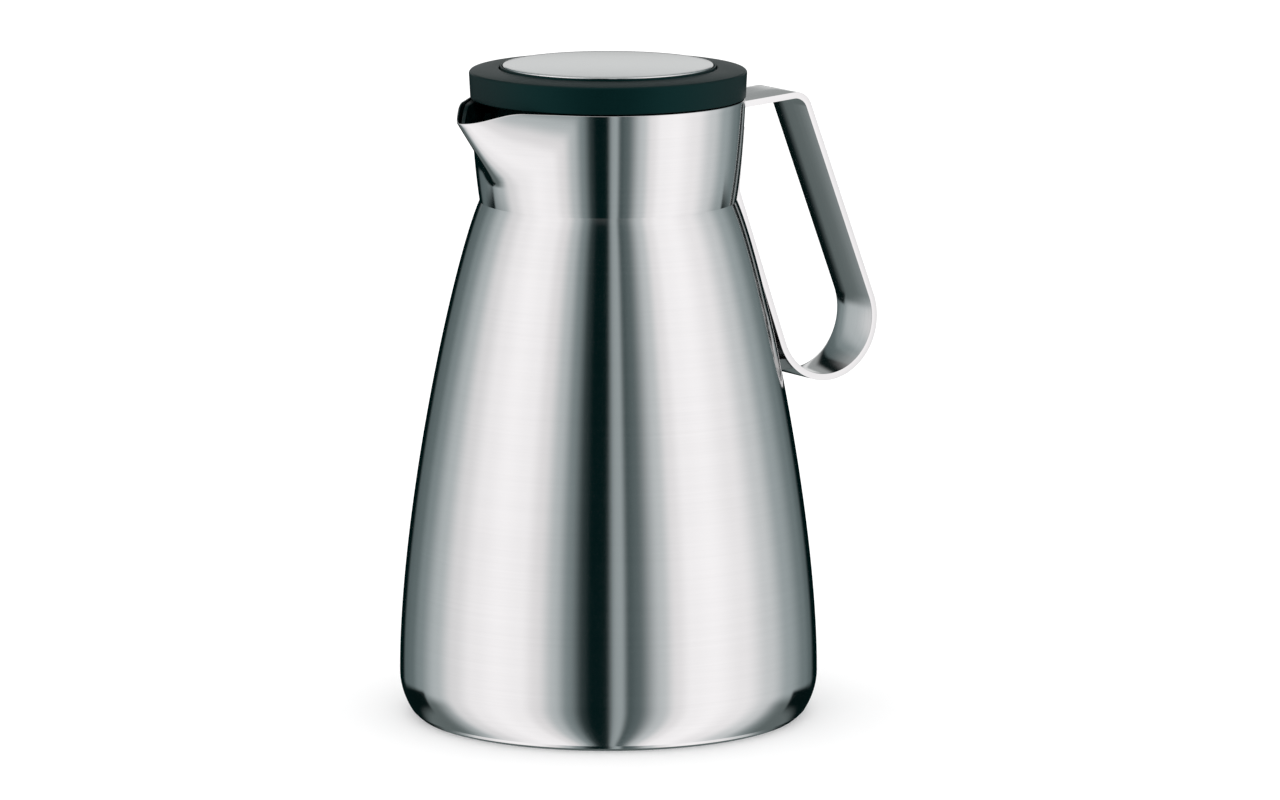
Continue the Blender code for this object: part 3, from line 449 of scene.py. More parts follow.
# ---- base plate and cover ------------------------------------------------------------------------
# Pressed base, welded in at the shell's lower edge. Its ring is what the jug stands on, and a black
# rubber disc fills the recess inside the ring and hides the pump hole's solder plug.
BASE_EDGE_INSET = 0.0008
BASE_TAPER = 0.0014
FOOT_RING_WIDTH = 0.0057
PORT_RADIUS = 0.0020
COVER_ROUNDING = 0.0004
COVER_THICKNESS = 0.0015

plate_low, plate_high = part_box("base_plate")
cover_low, cover_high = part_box("base_cover")
edge = BODY_RADIUS - FOOT_INSET - BASE_EDGE_INSET
foot = edge - BASE_TAPER
hollow = foot - FOOT_RING_WIDTH
step = FOOT_STEP - 0.0001
recess = cover_high.z + FIT
base = spun(
    "base_plate_pressed",
    [
        (edge - WALL / 2, plate_high.z),
        (edge - WALL / 2, step),
        (edge, step),
        (edge - BASE_TAPER / 4, step * 0.45),
        (foot, 0.0),
        (hollow, 0.0),
        (cover_high.x + FIT, recess),
        (PORT_RADIUS, recess),
        (PORT_RADIUS, recess + WALL),
        (cover_high.x + WALL / 2, recess + WALL),
        (hollow + WALL / 2, WALL),
        (foot - WALL / 2, WALL),
        (edge - WALL * 1.5, step),
        (edge - WALL * 1.5, plate_high.z),
    ],
    160,
)
done(base, shell_steel, "jug", "shell_steel", "base_plate")


def moulded(name, colour, roughness, grain_scale, grain_depth, light, shine=0.5, tint=(1.0, 1.0, 1.0)):
    """Moulded plastic or rubber with a fine grain; light is the colour of its paler specks."""
    finish = bpy.data.materials.new(name)
    finish.use_nodes = True
    tree = finish.node_tree
    shader = tree.nodes["Principled BSDF"]
    shader.inputs["Specular IOR Level"].default_value = shine
    shader.inputs["Specular Tint"].default_value = (*tint, 1.0)
    place = tree.nodes.new("ShaderNodeTexCoord").outputs["Object"]
    grain = tree.nodes.new("ShaderNodeTexNoise")
    grain.inputs["Scale"].default_value = grain_scale
    grain.inputs["Detail"].default_value = 3.0
    tree.links.new(place, grain.inputs["Vector"])
    patches = tree.nodes.new("ShaderNodeTexNoise")
    patches.inputs["Scale"].default_value = 35.0
    tree.links.new(place, patches.inputs["Vector"])
    specks = maths(tree, "MULTIPLY", grain.outputs["Fac"], 0.5)
    level = maths(tree, "MULTIPLY_ADD", patches.outputs["Fac"], 0.5, specks)
    tree.links.new(mixed(tree, fade(tree, level, 0.35, 0.7), colour, light), shader.inputs["Base Color"])
    tree.links.new(maths(tree, "MULTIPLY_ADD", level, 0.16, roughness - 0.08), shader.inputs["Roughness"])
    bump = tree.nodes.new("ShaderNodeBump")
    bump.inputs["Distance"].default_value = grain_depth
    tree.links.new(grain.outputs["Fac"], bump.inputs["Height"])
    tree.links.new(bump.outputs["Normal"], shader.inputs["Normal"])
    return finish


rubber = moulded("base_rubber", (0.012, 0.012, 0.012), 0.75, 2500.0, 0.00003, (0.022, 0.022, 0.022))
cover = spun(
    "base_cover_disc",
    [
        (0.0, 0.0),
        (cover_high.x, 0.0),
        (cover_high.x, cover_high.z),
        (cover_high.x - COVER_THICKNESS, cover_high.z),
        (cover_high.x - COVER_THICKNESS, COVER_THICKNESS),
        (0.0, COVER_THICKNESS),
    ],
    128,
    closed=False,
)
done(with_bevel(cover, COVER_ROUNDING), rubber, "jug", "base_rubber", "base_cover")

# ---- handle --------------------------------------------------------------------------------------
# One flat strip of satin steel, bent and welded to the collar at its arm and at its tail. A short
# steel stay holds the lower bend off the flank.
STRAP_WIDTH = 0.0225
STRAP_THICKNESS = 0.0022
ARM_DROP = 0.0047
ARM_RISE = math.radians(4.2)
ARM_REACH = 0.0265
ARM_BEND = 0.0060
LEG_CLEARANCE = 0.0017
KINK_RISE = 0.0009
KINK_ROUNDING = 0.0016
LOOP_DROP = 0.0471
LOOP_RADIUS = 0.0195
TAIL_GAP = 0.0075
STRAP_EDGE = 0.0004
ROLL_WIDTH = 0.0095  # the strip's inner face rolls off towards its far edge
ROLL_DEPTH = 0.0013


def radius_on(curve, height):
    """Radius of an outline at a height, read between its points."""
    rising = sorted(curve, key=lambda point: point[1])
    for low, high in zip(rising, rising[1:]):
        if height <= high[1]:
            share = (height - low[1]) / (high[1] - low[1])
            return low[0] + share * (high[0] - low[0])
    return rising[-1][0]


half = STRAP_THICKNESS / 2
arm_height = RIM_HEIGHT - ARM_DROP
arm_corner = Vector((RIM_RADIUS + ARM_REACH, arm_height + ARM_REACH * math.tan(ARM_RISE)))
kink_height = WAIST_HEIGHT + KINK_RISE
kink = Vector((radius_on(neck, kink_height) + FIT + half, kink_height))
tail_height = arm_height - TAIL_GAP
tail = Vector((radius_on(neck, tail_height) + FIT + half, tail_height))
loop_height = WAIST_HEIGHT - LOOP_DROP
middle = (WAIST_HEIGHT + loop_height) / 2
leg = math.atan2(radius_on(flank, middle) + LEG_CLEARANCE + half - kink.x, kink.y - middle)
loop = Vector((kink.x + (kink.y - loop_height) * math.tan(leg) + LOOP_RADIUS / math.cos(leg), loop_height))
down = loop - arm_corner
lean = math.atan2(down.x, -down.y) + math.asin(LOOP_RADIUS / down.length)
into_bend = ARM_BEND * math.tan((math.pi / 2 - lean + ARM_RISE) / 2)
bend = arm_corner - Vector((math.cos(ARM_RISE), math.sin(ARM_RISE))) * into_bend
bend += Vector((math.sin(ARM_RISE), -math.cos(ARM_RISE))) * ARM_BEND
arm_end = RIM_RADIUS - 2.5 * WALL
path_points = [(arm_end, arm_height + (arm_end - RIM_RADIUS) * math.tan(ARM_RISE))]
path_points += arc(bend, ARM_BEND, math.pi / 2 + ARM_RISE, lean, 14)
path_points += arc(loop, LOOP_RADIUS, lean, leg - math.pi, 56)
kink_in = kink + (Vector(path_points[-1]) - kink).normalized() * KINK_ROUNDING
kink_out = kink + (tail - kink).normalized() * KINK_ROUNDING
path_points += bezier([tuple(kink_in), tuple(kink), tuple(kink_out)], 6) + [tuple(tail)]

strap = draw("handle_strip", path_points, -STRAP_WIDTH / 2)
for across in [STRAP_WIDTH - ROLL_WIDTH] + [ROLL_WIDTH / 6] * 6:
    bpy.ops.mesh.extrude_edges_move(TRANSFORM_OT_translate={"value": (0.0, across, 0.0)})
bpy.ops.object.mode_set(mode="OBJECT")
sheet = strap.modifiers.new("sheet", "SOLIDIFY")
sheet.thickness = STRAP_THICKNESS
sheet.offset = 0.0
sheet.use_even_offset = True
bpy.ops.object.modifier_apply(modifier=sheet.name)


def cut(piece, tool, operation="DIFFERENCE"):
    """Cuts a piece with a tool, or joins them, and removes the tool."""
    change = piece.modifiers.new("cut", "BOOLEAN")
    change.object = tool
    change.operation = operation
    change.solver = "EXACT"
    bpy.context.view_layer.objects.active = piece
    bpy.ops.object.modifier_apply(modifier=change.name)
    bpy.data.objects.remove(tool, do_unlink=True)


bpy.ops.object.mode_set(mode="EDIT")
bpy.ops.mesh.select_all(action="SELECT")
bpy.ops.mesh.normals_make_consistent(inside=False)
bpy.ops.object.mode_set(mode="OBJECT")
grip = Vector((loop.x, 0.0, (loop.y + arm_height) / 2))
rolled = []
for vertex in strap.data.vertices:
    inward = Vector((grip.x - vertex.co.x, 0.0, grip.z - vertex.co.z))
    facing = Vector((vertex.normal.x, 0.0, vertex.normal.z)).normalized()
    roll = (vertex.co.y - STRAP_WIDTH / 2 + ROLL_WIDTH) / ROLL_WIDTH
    if roll > 0 and facing.dot(inward) > 0:
        rolled.append((vertex, facing * ROLL_DEPTH * roll**2))
for vertex, shift in rolled:
    vertex.co -= shift
strap.data.update()
seat = [(radius - 0.0002, height) for radius, height in neck]
cut(strap, spun("neck_tool", [(0.0, WAIST_HEIGHT)] + seat + [(0.0, RIM_HEIGHT)], 128, closed=False))
handle_steel = brushed_steel("polished_strip", STEEL, (45.0, 2600.0, 45.0), 0.11, 0.000001, 0.03)
done(with_bevel(strap, STRAP_EDGE, 4, 40.0), handle_steel, "jug", "handle_steel", "handle_strap")

stay_low, stay_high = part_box("handle_stay")
bpy.ops.object.select_all(action="DESELECT")
bpy.ops.mesh.primitive_cube_add(size=1.0, location=(stay_low + stay_high) / 2, scale=stay_high - stay_low)
stay = bpy.context.object
stay.name = stay.data.name = "handle_stay_bar"
bpy.ops.object.transform_apply(location=True, rotation=False, scale=True)
wall = [point for point in flank if stay_low.z - 0.01 < point[1] < stay_high.z + 0.01]
cut(stay, spun("flank_tool", [(0.0, wall[0][1])] + wall + [(0.0, wall[-1][1])], 160, closed=False))
bpy.ops.object.select_all(action="DESELECT")
bpy.ops.mesh.primitive_cylinder_add(
    vertices=128,
    radius=LOOP_RADIUS + half,
    depth=2 * STRAP_WIDTH,
    location=(loop.x, 0.0, loop.y),
    rotation=(math.pi / 2, 0.0, 0.0),
)
cut(stay, bpy.context.object)
# The stay's steel is coloured near black with a green cast, far darker than the strap: painted shade for the
# shadow under the handle's lower bend.
stay_steel_painted_shade = brushed_steel("stay_steel_painted_shade", (0.10, 0.115, 0.115), (45.0, 2600.0, 45.0), 0.35, 0.000004)
done(with_bevel(stay, 0.0002, 2, 50.0), stay_steel_painted_shade, "jug", "handle_steel", "handle_stay")

# ---- neck insert ---------------------------------------------------------------------------------
# Black moulded ring in the neck. It lines the spout, so the pouring channel is black, and it carries
# four ribs on which the stopper's thread turns.
POUR_RADIUS = 0.0416
CHANNEL_WALL = 0.0012
LINER_EASE = 1.06
THREAD_STARTS = 4
THREAD_LEAD = 0.0400
THREAD_SPAN = math.radians(50.0)
THREAD_HEIGHT = 0.0026
THREAD_TOP = 0.0038
THREAD_BITE = 0.0016
THREAD_CLEARANCE = 0.0004

insert_low, insert_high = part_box("neck_insert")
PLASTIC = (0.0006, 0.0072, 0.0072)
PLASTIC_LIGHT = (0.0010, 0.0090, 0.0090)
PLASTIC_TINT = (0.25, 0.95, 0.95)
black_plastic = moulded("black_plastic", PLASTIC, 0.40, 1800.0, 0.00001, PLASTIC_LIGHT, 0.14, PLASTIC_TINT)


def liner_radius(angle, height):
    """Outside of the insert, which lines the collar and its spout."""
    share = spout_share(angle * LINER_EASE, height)
    return radius_on(neck, height) - WALL - 2 * FIT + SPOUT_REACH * share


liner_rows = [insert_low.z + (insert_high.z - insert_low.z) * i / 10 for i in range(11)]
liner = spun(
    "neck_liner",
    [(RIM_RADIUS, height) for height in liner_rows] + [(POUR_RADIUS, height) for height in liner_rows[::-1]],
    288,
)
for vertex in liner.data.vertices:
    point = vertex.co
    angle = math.degrees(math.atan2(point.y, -point.x))
    outer = math.hypot(point.x, point.y) > (POUR_RADIUS + RIM_RADIUS) / 2
    rise = (point.z - insert_low.z) / (insert_high.z - insert_low.z)
    height = point.z - lip_drop(angle) * rise
    radius = liner_radius(angle, height)
    if not outer:
        share = min(1.0, 4 * spout_share(angle * LINER_EASE, height))
        radius = POUR_RADIUS + (radius - CHANNEL_WALL - POUR_RADIUS) * share
    along = Vector((point.x, point.y, 0.0)).normalized() * radius
    vertex.co = (along.x, along.y, height)


def rib(inner, outer, low, high, span, middle, rise):
    """A bar of rectangular section swept through an angle about the axis, climbing by rise on its way."""
    swept = draw("rib", [(inner, low), (outer, low), (outer, high), (inner, high), (inner, low)])
    bpy.ops.mesh.remove_doubles(threshold=1e-6)
    bpy.ops.object.mode_set(mode="OBJECT")
    sweep = swept.modifiers.new("sweep", "SCREW")
    sweep.angle = span
    sweep.screw_offset = rise
    sweep.steps = sweep.render_steps = 16
    bpy.ops.object.modifier_apply(modifier=sweep.name)
    bpy.ops.object.mode_set(mode="EDIT")
    bpy.ops.mesh.select_all(action="SELECT")
    bpy.ops.mesh.fill_holes(sides=4)
    bpy.ops.mesh.select_all(action="SELECT")
    bpy.ops.mesh.normals_make_consistent(inside=False)
    bpy.ops.object.mode_set(mode="OBJECT")
    swept.rotation_euler = (0.0, 0.0, middle - span / 2)
    bpy.ops.object.transform_apply(location=False, rotation=True, scale=False)
    return swept


def threaded(piece, inner, outer, top):
    """Joins the ribs of a thread of several starts to a piece; top is where each rib ends."""
    rise = THREAD_LEAD * THREAD_SPAN / (2 * math.pi)
    low = top - rise - THREAD_HEIGHT
    for start in range(THREAD_STARTS):
        middle = 2 * math.pi / THREAD_STARTS * (start + 0.5)
        cut(piece, rib(inner, outer, low, low + THREAD_HEIGHT, THREAD_SPAN, middle, rise), "UNION")


threaded(liner, POUR_RADIUS - THREAD_BITE, POUR_RADIUS + CHANNEL_WALL / 2, RIM_HEIGHT - THREAD_TOP)
done(with_bevel(liner, 0.00015, 2, 50.0), black_plastic, "jug", "black_plastic", "neck_insert")

# ---- lid ring ------------------------------------------------------------------------------------
# Black moulded ring that the hand turns. Its flank leans out a little, its upper edge is rounded, and
# its top rises gently to the button's bore.
LID_EDGE = 0.0010
LID_CROWN = 0.0009
LID_WALL = 0.0020
BORE_ROUNDING = 0.0005
BORE_GAP = 0.0004
BORE_WALL = 0.0014
RING_UNDER = 0.0025  # the bore's wall ends this far above the rim, on the stopper

ring_low, ring_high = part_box("lid_ring")
carrier_low, carrier_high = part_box("button_carrier")
bore = carrier_high.x + BORE_GAP
edge_height = ring_high.z - LID_CROWN
under = RIM_HEIGHT + RING_UNDER
lid_ring = spun(
    "lid_ring_moulded",
    [(bore, under), (bore, ring_high.z - BORE_ROUNDING)]
    + arc((bore + BORE_ROUNDING, ring_high.z - BORE_ROUNDING), BORE_ROUNDING, math.pi, math.pi / 2, 5)[1:]
    + arc((ring_high.x - LID_EDGE, edge_height - LID_EDGE), LID_EDGE, math.pi / 2 - 0.1, 0.0, 8)
    + [
        (RIM_RADIUS + 0.0001, ring_low.z + 0.0002),
        (RIM_RADIUS - 0.0002, ring_low.z),
        (RIM_RADIUS - LID_WALL, ring_low.z),
        (RIM_RADIUS - LID_WALL, edge_height - LID_WALL),
        (bore + BORE_WALL, edge_height - LID_WALL + 0.0006),
        (bore + BORE_WALL, under),
    ],
    224,
)
done(lid_ring, black_plastic, "lid", "black_plastic", "lid_ring")

# ---- button --------------------------------------------------------------------------------------
# Slightly domed disc of satin steel, pressed into a black cup that runs in the lid's well. Its edge is
# rounded and catches the light.
DISC_EDGE = 0.0004
DISC_DOME = 0.0005

disc_low, disc_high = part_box("button_disc")
shoulder = disc_high.z - DISC_DOME
disc = spun(
    "button_disc_domed",
    bezier([(0.0, disc_high.z), (disc_high.x / 2, disc_high.z), (disc_high.x - DISC_EDGE, shoulder)], 16)
    + arc((disc_high.x - DISC_EDGE, shoulder - DISC_EDGE), DISC_EDGE, math.pi / 2, 0.0, 5)[1:]
    + [(disc_high.x, disc_low.z), (0.0, disc_low.z)],
    192,
    closed=False,
)
button_steel = brushed_steel("satin_disc", (0.66, 0.665, 0.665), (60.0, 2400.0, 60.0), 0.16, 0.000002)
done(disc, button_steel, "button", "button_steel", "button_disc")

# ---- button carrier ------------------------------------------------------------------------------
# Black cup under the disc. Its skirt guides the button in the stopper's well, and the boss in its
# middle holds the valve stem.
CARRIER_PLATE = 0.0020
CARRIER_SKIRT = 0.0050
CARRIER_WALL = 0.0015
CARRIER_LIP = 0.0005
CARRIER_BOSS_RADIUS = 0.0050
BUTTON_TRAVEL = 0.0050
STEM_RADIUS = 0.0022
INNER_ROUNDING = 0.0002

seat_low, seat_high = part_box("spring_seat")
skirt_end = carrier_low.z
plate_under = skirt_end + CARRIER_SKIRT
boss_end = seat_high.z + BUTTON_TRAVEL + 3 * FIT
carrier = spun(
    "button_carrier_cup",
    [
        (0.0, plate_under + CARRIER_PLATE),
        (carrier_high.x - CARRIER_LIP, plate_under + CARRIER_PLATE),
        (carrier_high.x - CARRIER_LIP, carrier_high.z),
        (carrier_high.x, carrier_high.z),
        (carrier_high.x, skirt_end),
        (carrier_high.x - CARRIER_WALL, skirt_end),
        (carrier_high.x - CARRIER_WALL, plate_under),
        (CARRIER_BOSS_RADIUS, plate_under),
        (CARRIER_BOSS_RADIUS, boss_end),
        (STEM_RADIUS + FIT, boss_end),
        (STEM_RADIUS + FIT, plate_under),
        (0.0, plate_under),
    ],
    closed=False,
)
done(with_bevel(carrier, 0.0001, 2), black_plastic, "button", "black_plastic", "button_carrier")

# ---- stopper -------------------------------------------------------------------------------------
# Black moulded body under the lid ring. Four ribs screw it into the neck, four windows between them
# let the drink out, and its well holds the button's spring above the sealed floor.
STOPPER_RADIUS = 0.0386
STOPPER_WALL = 0.0020
STOPPER_FLANGE = 0.0015
FLANGE_INSET = 0.0030
SPIGOT_RADIUS = 0.0354
SPIGOT_WALL = 0.0018
LEDGE_WIDTH = 0.0021
LEDGE_HEIGHT = 0.0012
FLOOR_THICKNESS = 0.0018
GUIDE_RADIUS = 0.0065
GUIDE_LENGTH = 0.0032
OUTLET_HEIGHT = 0.0070
OUTLET_RISE = 0.0036
OUTLET_ANGLE = math.radians(24.0)

gasket_low, gasket_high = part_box("stopper_gasket")
stem_seal_low, stem_seal_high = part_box("stem_seal")
valve_seat_low, valve_seat_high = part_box("valve_seat")
body_low, body_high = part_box("stopper_body")
well = STOPPER_RADIUS - STOPPER_WALL
well_floor = seat_low.z - FIT
ceiling = well_floor - FLOOR_THICKNESS
gasket_seat = gasket_high.z + FIT
ledge = valve_seat_high.z + FIT
spigot_inner = SPIGOT_RADIUS - SPIGOT_WALL
seal_pocket = stem_seal_high.x + FIT
stopper = spun(
    "stopper_threaded",
    [
        (RIM_RADIUS - FLANGE_INSET, body_high.z),
        (RIM_RADIUS - FLANGE_INSET, body_high.z - STOPPER_FLANGE),
        (STOPPER_RADIUS, body_high.z - STOPPER_FLANGE),
        (STOPPER_RADIUS, gasket_seat),
        (SPIGOT_RADIUS, gasket_seat),
        (SPIGOT_RADIUS, body_low.z),
        (spigot_inner, body_low.z),
        (spigot_inner, ledge),
        (spigot_inner - LEDGE_WIDTH, ledge),
        (spigot_inner - LEDGE_WIDTH, ledge + LEDGE_HEIGHT),
        (well, ledge + 2 * LEDGE_HEIGHT),
        (well, ceiling),
        (GUIDE_RADIUS, ceiling),
        (GUIDE_RADIUS, ceiling - GUIDE_LENGTH),
        (STEM_RADIUS + FIT, ceiling - GUIDE_LENGTH),
        (STEM_RADIUS + FIT, stem_seal_low.z - FIT),
        (seal_pocket, stem_seal_low.z - FIT),
        (seal_pocket, well_floor),
        (well, well_floor),
        (well, body_high.z),
    ],
    192,
)
rib_reach = POUR_RADIUS - THREAD_CLEARANCE
threaded(stopper, STOPPER_RADIUS - STOPPER_WALL / 2, rib_reach, RIM_HEIGHT - THREAD_TOP - THREAD_HEIGHT - FIT)
for side in range(THREAD_STARTS):
    low = ledge + OUTLET_RISE
    middle = 2 * math.pi / THREAD_STARTS * side
    cut(stopper, rib(well - STOPPER_WALL, POUR_RADIUS, low, low + OUTLET_HEIGHT, OUTLET_ANGLE, middle, 0.0))
done(with_bevel(stopper, INNER_ROUNDING, 2, 50.0), black_plastic, "lid", "black_plastic", "stopper_body")

# ---- gaskets and seals ---------------------------------------------------------------------------
# Grey silicone rings. Under the insert one is pressed onto the flask's flange; one sits on the
# stopper's spigot; small ones seal the stem in the stopper's floor and the valve against its seat.
GASKET_CHAMFER = 0.0009
PILOT_RADIUS = 0.0062  # of the valve, which centres it in its hole
silicone = moulded("grey_silicone", (0.42, 0.43, 0.42), 0.55, 900.0, 0.00002, (0.50, 0.51, 0.50))


def ring(name, node, inner, body, slot, finish, steps=160, rounding=INNER_ROUNDING):
    """A plain turned ring that fills a CAD node's box, with a hole of radius inner."""
    low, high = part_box(node)
    made = spun(name, [(inner, high.z), (high.x, high.z), (high.x, low.z), (inner, low.z)], steps)
    return done(with_bevel(made, rounding, 3), finish, body, slot, node)


ring("insert_gasket_ring", "insert_gasket", POUR_RADIUS + FIT, "jug", "silicone", silicone)
gasket = spun(
    "stopper_gasket_ring",
    [
        (SPIGOT_RADIUS + FIT, gasket_high.z),
        (gasket_high.x, gasket_high.z),
        (gasket_high.x, gasket_low.z + GASKET_CHAMFER),
        (gasket_high.x - GASKET_CHAMFER, gasket_low.z),
        (SPIGOT_RADIUS + FIT, gasket_low.z),
    ],
)
done(with_bevel(gasket, INNER_ROUNDING, 3, 30.0), silicone, "seal", "silicone", "stopper_gasket")
ring("stem_seal_ring", "stem_seal", STEM_RADIUS + FIT, "lid", "silicone", silicone, 96)
ring("valve_seal_ring", "valve_seal", PILOT_RADIUS + FIT, "button", "silicone", silicone, 128)

# ---- valve seat ----------------------------------------------------------------------------------
# Black plate clipped into the spigot. The ridge round its hole is what the valve's seal presses on.
VALVE_BORE = 0.0100
VALVE_RIDGE = 0.0006
RIDGE_WIDTH = 0.0010

seat_plate = spun(
    "valve_seat_plate",
    [
        (VALVE_BORE, valve_seat_high.z),
        (valve_seat_high.x, valve_seat_high.z),
        (valve_seat_high.x, valve_seat_low.z + VALVE_RIDGE),
        (VALVE_BORE + RIDGE_WIDTH, valve_seat_low.z + VALVE_RIDGE),
        (VALVE_BORE + RIDGE_WIDTH, valve_seat_low.z),
        (VALVE_BORE, valve_seat_low.z),
    ],
)
done(with_bevel(seat_plate, INNER_ROUNDING, 2), black_plastic, "lid", "black_plastic", "valve_seat")

# ---- valve stem, valve and clip ------------------------------------------------------------------
# Steel rod from the button's boss down to the valve plate, which hangs on it between a collar and an
# open spring clip. Pressing the button pushes the plate off its seat.
STEM_COLLAR = 0.0034
STEM_COLLAR_HEIGHT = 0.0012
VALVE_THICKNESS = 0.0025
VALVE_HUB = 0.0045
CLIP_MOUTH = 0.0026
inner_steel = brushed_steel("drawn_steel", (0.55, 0.56, 0.57), (26.0, 26.0, 1500.0), 0.26, 0.000003)

stem_low, stem_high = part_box("valve_stem")
valve_low, valve_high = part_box("valve_disc")
seal_low, seal_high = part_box("valve_seal")
clip_low, clip_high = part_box("stem_clip")
collar_low_end = valve_high.z + FIT
groove = STEM_RADIUS - 2 * FIT
stem = spun(
    "valve_stem_rod",
    [
        (0.0, stem_high.z),
        (STEM_RADIUS, stem_high.z),
        (STEM_RADIUS, collar_low_end + STEM_COLLAR_HEIGHT),
        (STEM_COLLAR, collar_low_end + STEM_COLLAR_HEIGHT),
        (STEM_COLLAR, collar_low_end),
        (STEM_RADIUS, collar_low_end),
        (STEM_RADIUS, clip_high.z + FIT / 2),
        (groove, clip_high.z + FIT / 2),
        (groove, clip_low.z - FIT),
        (STEM_RADIUS, clip_low.z - FIT),
        (STEM_RADIUS, stem_low.z),
        (0.0, stem_low.z),
    ],
    96,
    closed=False,
)
done(with_bevel(stem, INNER_ROUNDING, 2), inner_steel, "button", "inner_steel", "valve_stem")

valve_top = seal_low.z - FIT
valve = spun(
    "valve_plate",
    [
        (STEM_RADIUS + FIT, valve_high.z),
        (PILOT_RADIUS, valve_high.z),
        (PILOT_RADIUS, valve_top),
        (valve_high.x, valve_top),
        (valve_high.x, valve_top - VALVE_THICKNESS),
        (VALVE_HUB, valve_top - VALVE_THICKNESS),
        (VALVE_HUB, valve_low.z),
        (STEM_RADIUS + FIT, valve_low.z),
    ],
    128,
)
done(with_bevel(valve, INNER_ROUNDING, 2), black_plastic, "button", "black_plastic", "valve_disc")

clip_radius = -clip_low.x
clip_hole = STEM_RADIUS - FIT
clip = spun(
    "stem_clip_ring",
    [
        (clip_hole, clip_high.z),
        (clip_radius, clip_high.z),
        (clip_radius, clip_low.z),
        (clip_hole, clip_low.z),
    ],
    96,
)
bpy.ops.object.select_all(action="DESELECT")
bpy.ops.mesh.primitive_cube_add(
    size=1.0,
    location=(clip_radius, 0.0, (clip_low.z + clip_high.z) / 2),
    scale=(2 * clip_radius, CLIP_MOUTH, 4 * FIT + clip_high.z - clip_low.z),
)
cut(clip, bpy.context.object)
done(with_bevel(clip, 0.0001, 2), inner_steel, "button", "inner_steel", "stem_clip")

# ---- return spring and its seat ------------------------------------------------------------------
# Coil spring of steel wire between a steel washer on the well's floor and the button's carrier. It
# shortens as the button goes down.
SPRING_RADIUS = 0.0085
SPRING_WIRE = 0.0009
SPRING_TURNS = 4

ring("spring_seat_ring", "spring_seat", STEM_RADIUS + 2 * FIT, "lid", "inner_steel", inner_steel, 128, 0.0001)
spring_low, spring_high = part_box("return_spring")
bottom = spring_low.z + SPRING_WIRE / 2
rise = spring_high.z - spring_low.z - SPRING_WIRE
bpy.ops.object.select_all(action="DESELECT")
bpy.ops.mesh.primitive_circle_add(
    vertices=16,
    radius=SPRING_WIRE / 2,
    location=(SPRING_RADIUS, 0.0, bottom),
    rotation=(math.pi / 2, 0.0, 0.0),
)
spring = bpy.context.object
spring.name = spring.data.name = "return_spring_coil"
bpy.ops.object.transform_apply(location=True, rotation=True, scale=False)
coil = spring.modifiers.new("coil", "SCREW")
coil.iterations = SPRING_TURNS
coil.screw_offset = rise / SPRING_TURNS
coil.steps = coil.render_steps = 64
bpy.ops.object.modifier_apply(modifier=coil.name)
bpy.ops.object.mode_set(mode="EDIT")
bpy.ops.mesh.select_all(action="SELECT")
bpy.ops.mesh.fill_holes(sides=16)
bpy.ops.mesh.select_all(action="SELECT")
bpy.ops.mesh.normals_make_consistent(inside=False)
bpy.ops.object.mode_set(mode="OBJECT")
done(spring, inner_steel, "lid", "inner_steel", "return_spring")
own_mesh(spring)

# ---- flask ---------------------------------------------------------------------------------------
# Steel flask inside the vacuum, with a flange at its top that is welded into the collar and a dished
# base. A getter capsule hangs under it, and a solder plug closes the pump hole in the base plate.
VACUUM_GAP = 0.0046
FLASK_CORNER = 0.0130
FLASK_SHOULDER_DROP = 0.0085
FLASK_BEND = 0.0032
FLASK_NECK = 0.0370
FLASK_BASE_INSET = 0.0040
FLASK_DISH = 0.0025

flask_low, flask_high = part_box("inner_flask")


def flask_radius(height):
    return radius_on(flank, height) - WALL - VACUUM_GAP


flask_top = flask_high.z
flange = radius_on(neck, flask_top) - WALL - FIT
flask_shoulder = WAIST_HEIGHT - FLASK_SHOULDER_DROP
corner_height = flask_low.z + FLASK_CORNER
corner_centre = (flask_radius(corner_height) - FLASK_CORNER, corner_height)
drop = (flask_shoulder - corner_height) / 24
wall = bezier(
    [
        (FLASK_NECK, WAIST_HEIGHT + WALL),
        (FLASK_NECK, WAIST_HEIGHT - FLASK_BEND),
        (flask_radius(flask_shoulder), flask_shoulder),
    ],
    12,
)
wall += [(flask_radius(flask_shoulder - drop * i), flask_shoulder - drop * i) for i in range(1, 24)]
flask = spun(
    "inner_flask_drawn",
    [
        (flange, flask_top),
        (flange, flask_top - WALL),
        (FLASK_NECK + WALL, flask_top - WALL),
        (FLASK_NECK, flask_top - 2 * WALL),
    ]
    + wall
    + arc(corner_centre, FLASK_CORNER, 0.0, -math.pi / 2, 14)
    + arc(corner_centre, FLASK_CORNER - WALL, -math.pi / 2, 0.0, 14)
    + [(radius - WALL, height) for radius, height in reversed(wall)]
    + [(FLASK_NECK - WALL, flask_top - 1.5 * WALL), (FLASK_NECK - WALL / 2, flask_top)],
)
done(flask, inner_steel, "jug", "inner_steel", "inner_flask")

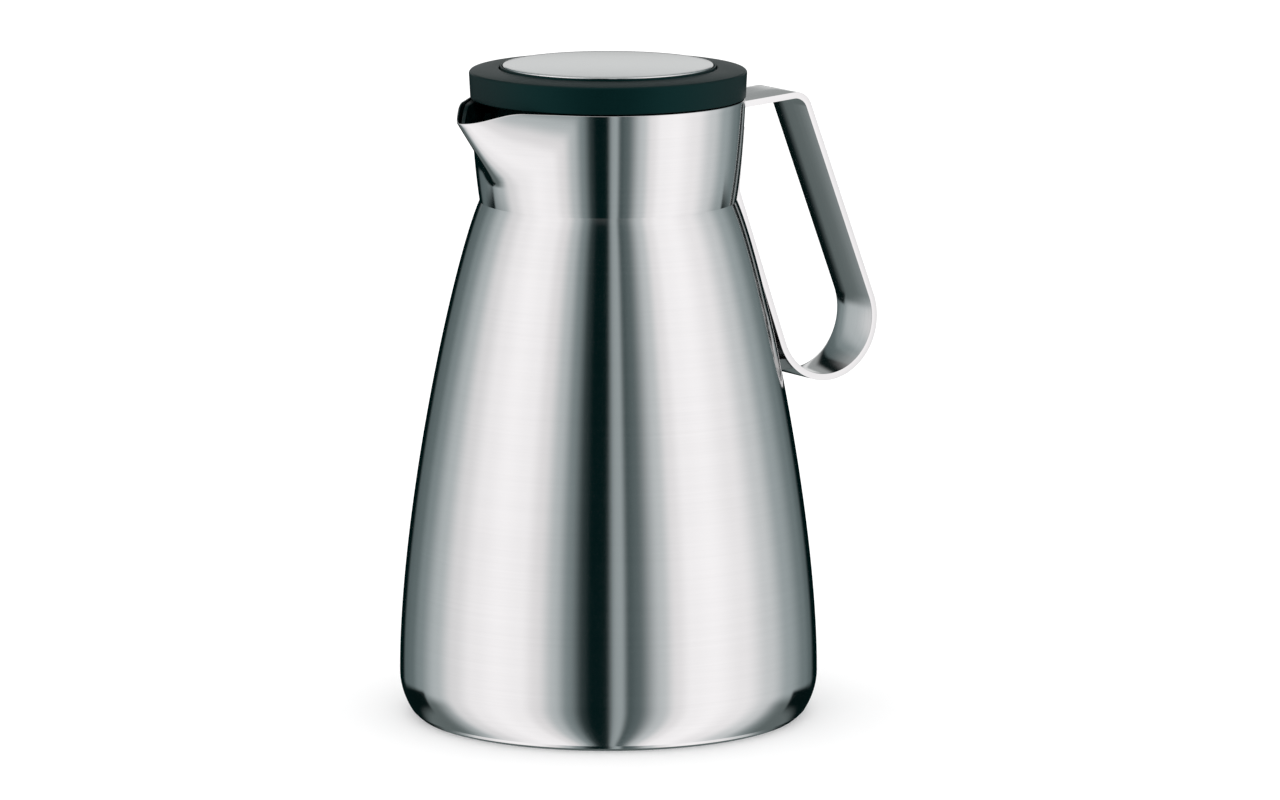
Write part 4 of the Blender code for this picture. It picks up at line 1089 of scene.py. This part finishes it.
dish_low, dish_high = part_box("flask_base")
dish_bottom = dish_low.z
dish = [
    (dish_high.x, dish_bottom),
    (dish_high.x - FLASK_BASE_INSET, dish_bottom),
    (dish_high.x - 2 * FLASK_BASE_INSET, dish_bottom + FLASK_DISH),
    (0.0, dish_bottom + FLASK_DISH),
]
upper = [(radius, height + WALL) for radius, height in reversed(dish)]
flask_base = spun("flask_base_dished", upper + dish, closed=False)
done(with_bevel(flask_base, 0.0003, 2, 20.0), inner_steel, "jug", "inner_steel", "flask_base")

capsule_low, capsule_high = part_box("getter_capsule")
capsule = spun(
    "getter_capsule_can",
    [
        (0.0, capsule_high.z),
        (-capsule_low.x, capsule_high.z),
        (-capsule_low.x, capsule_low.z),
        (0.0, capsule_low.z),
    ],
    96,
    closed=False,
)
done(with_bevel(capsule, 0.0003, 3), inner_steel, "jug", "inner_steel", "getter_capsule")

plug_low, plug_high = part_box("vacuum_seal")
plug = spun(
    "solder_plug",
    [
        (0.0, plug_low.z),
        (-plug_low.x, plug_low.z),
        (-plug_low.x, recess - FIT),
        (PORT_RADIUS - FIT, recess - FIT),
        (PORT_RADIUS - FIT, plug_high.z),
        (0.0, plug_high.z),
    ],
    96,
    closed=False,
)
done(with_bevel(plug, INNER_ROUNDING, 3), inner_steel, "jug", "inner_steel", "vacuum_seal")

# ---- what is left of the frame -------------------------------------------------------------------
# The solids under the pieces keep the finish of what they are made of; the stay's finish is darkened with
# painted shade.
SOLIDS = {
    "vacuum_seal": inner_steel,
    "inner_flask": inner_steel,
    "flask_base": inner_steel,
    "getter_capsule": inner_steel,
    "insert_gasket": silicone,
    "stopper_body": black_plastic,
    "stopper_gasket": silicone,
    "valve_seat": black_plastic,
    "stem_seal": silicone,
    "spring_seat": inner_steel,
    "return_spring": inner_steel,
    "button_carrier": black_plastic,
    "valve_stem": inner_steel,
    "valve_disc": black_plastic,
    "valve_seal": silicone,
    "stem_clip": inner_steel,
    "body_shell": shell_steel,
    "neck_collar": collar_steel,
    "base_plate": shell_steel,
    "base_cover": rubber,
    "handle_strap": handle_steel,
    # painted shade: the stay's steel is coloured near black for the shadow under the handle
    "handle_stay": stay_steel_painted_shade,
    "neck_insert": black_plastic,
    "lid_ring": black_plastic,
    "button_disc": button_steel,
}
for name, finish in SOLIDS.items():
    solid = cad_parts[name]
    for entry in solid.material_slots:
        entry.material = finish
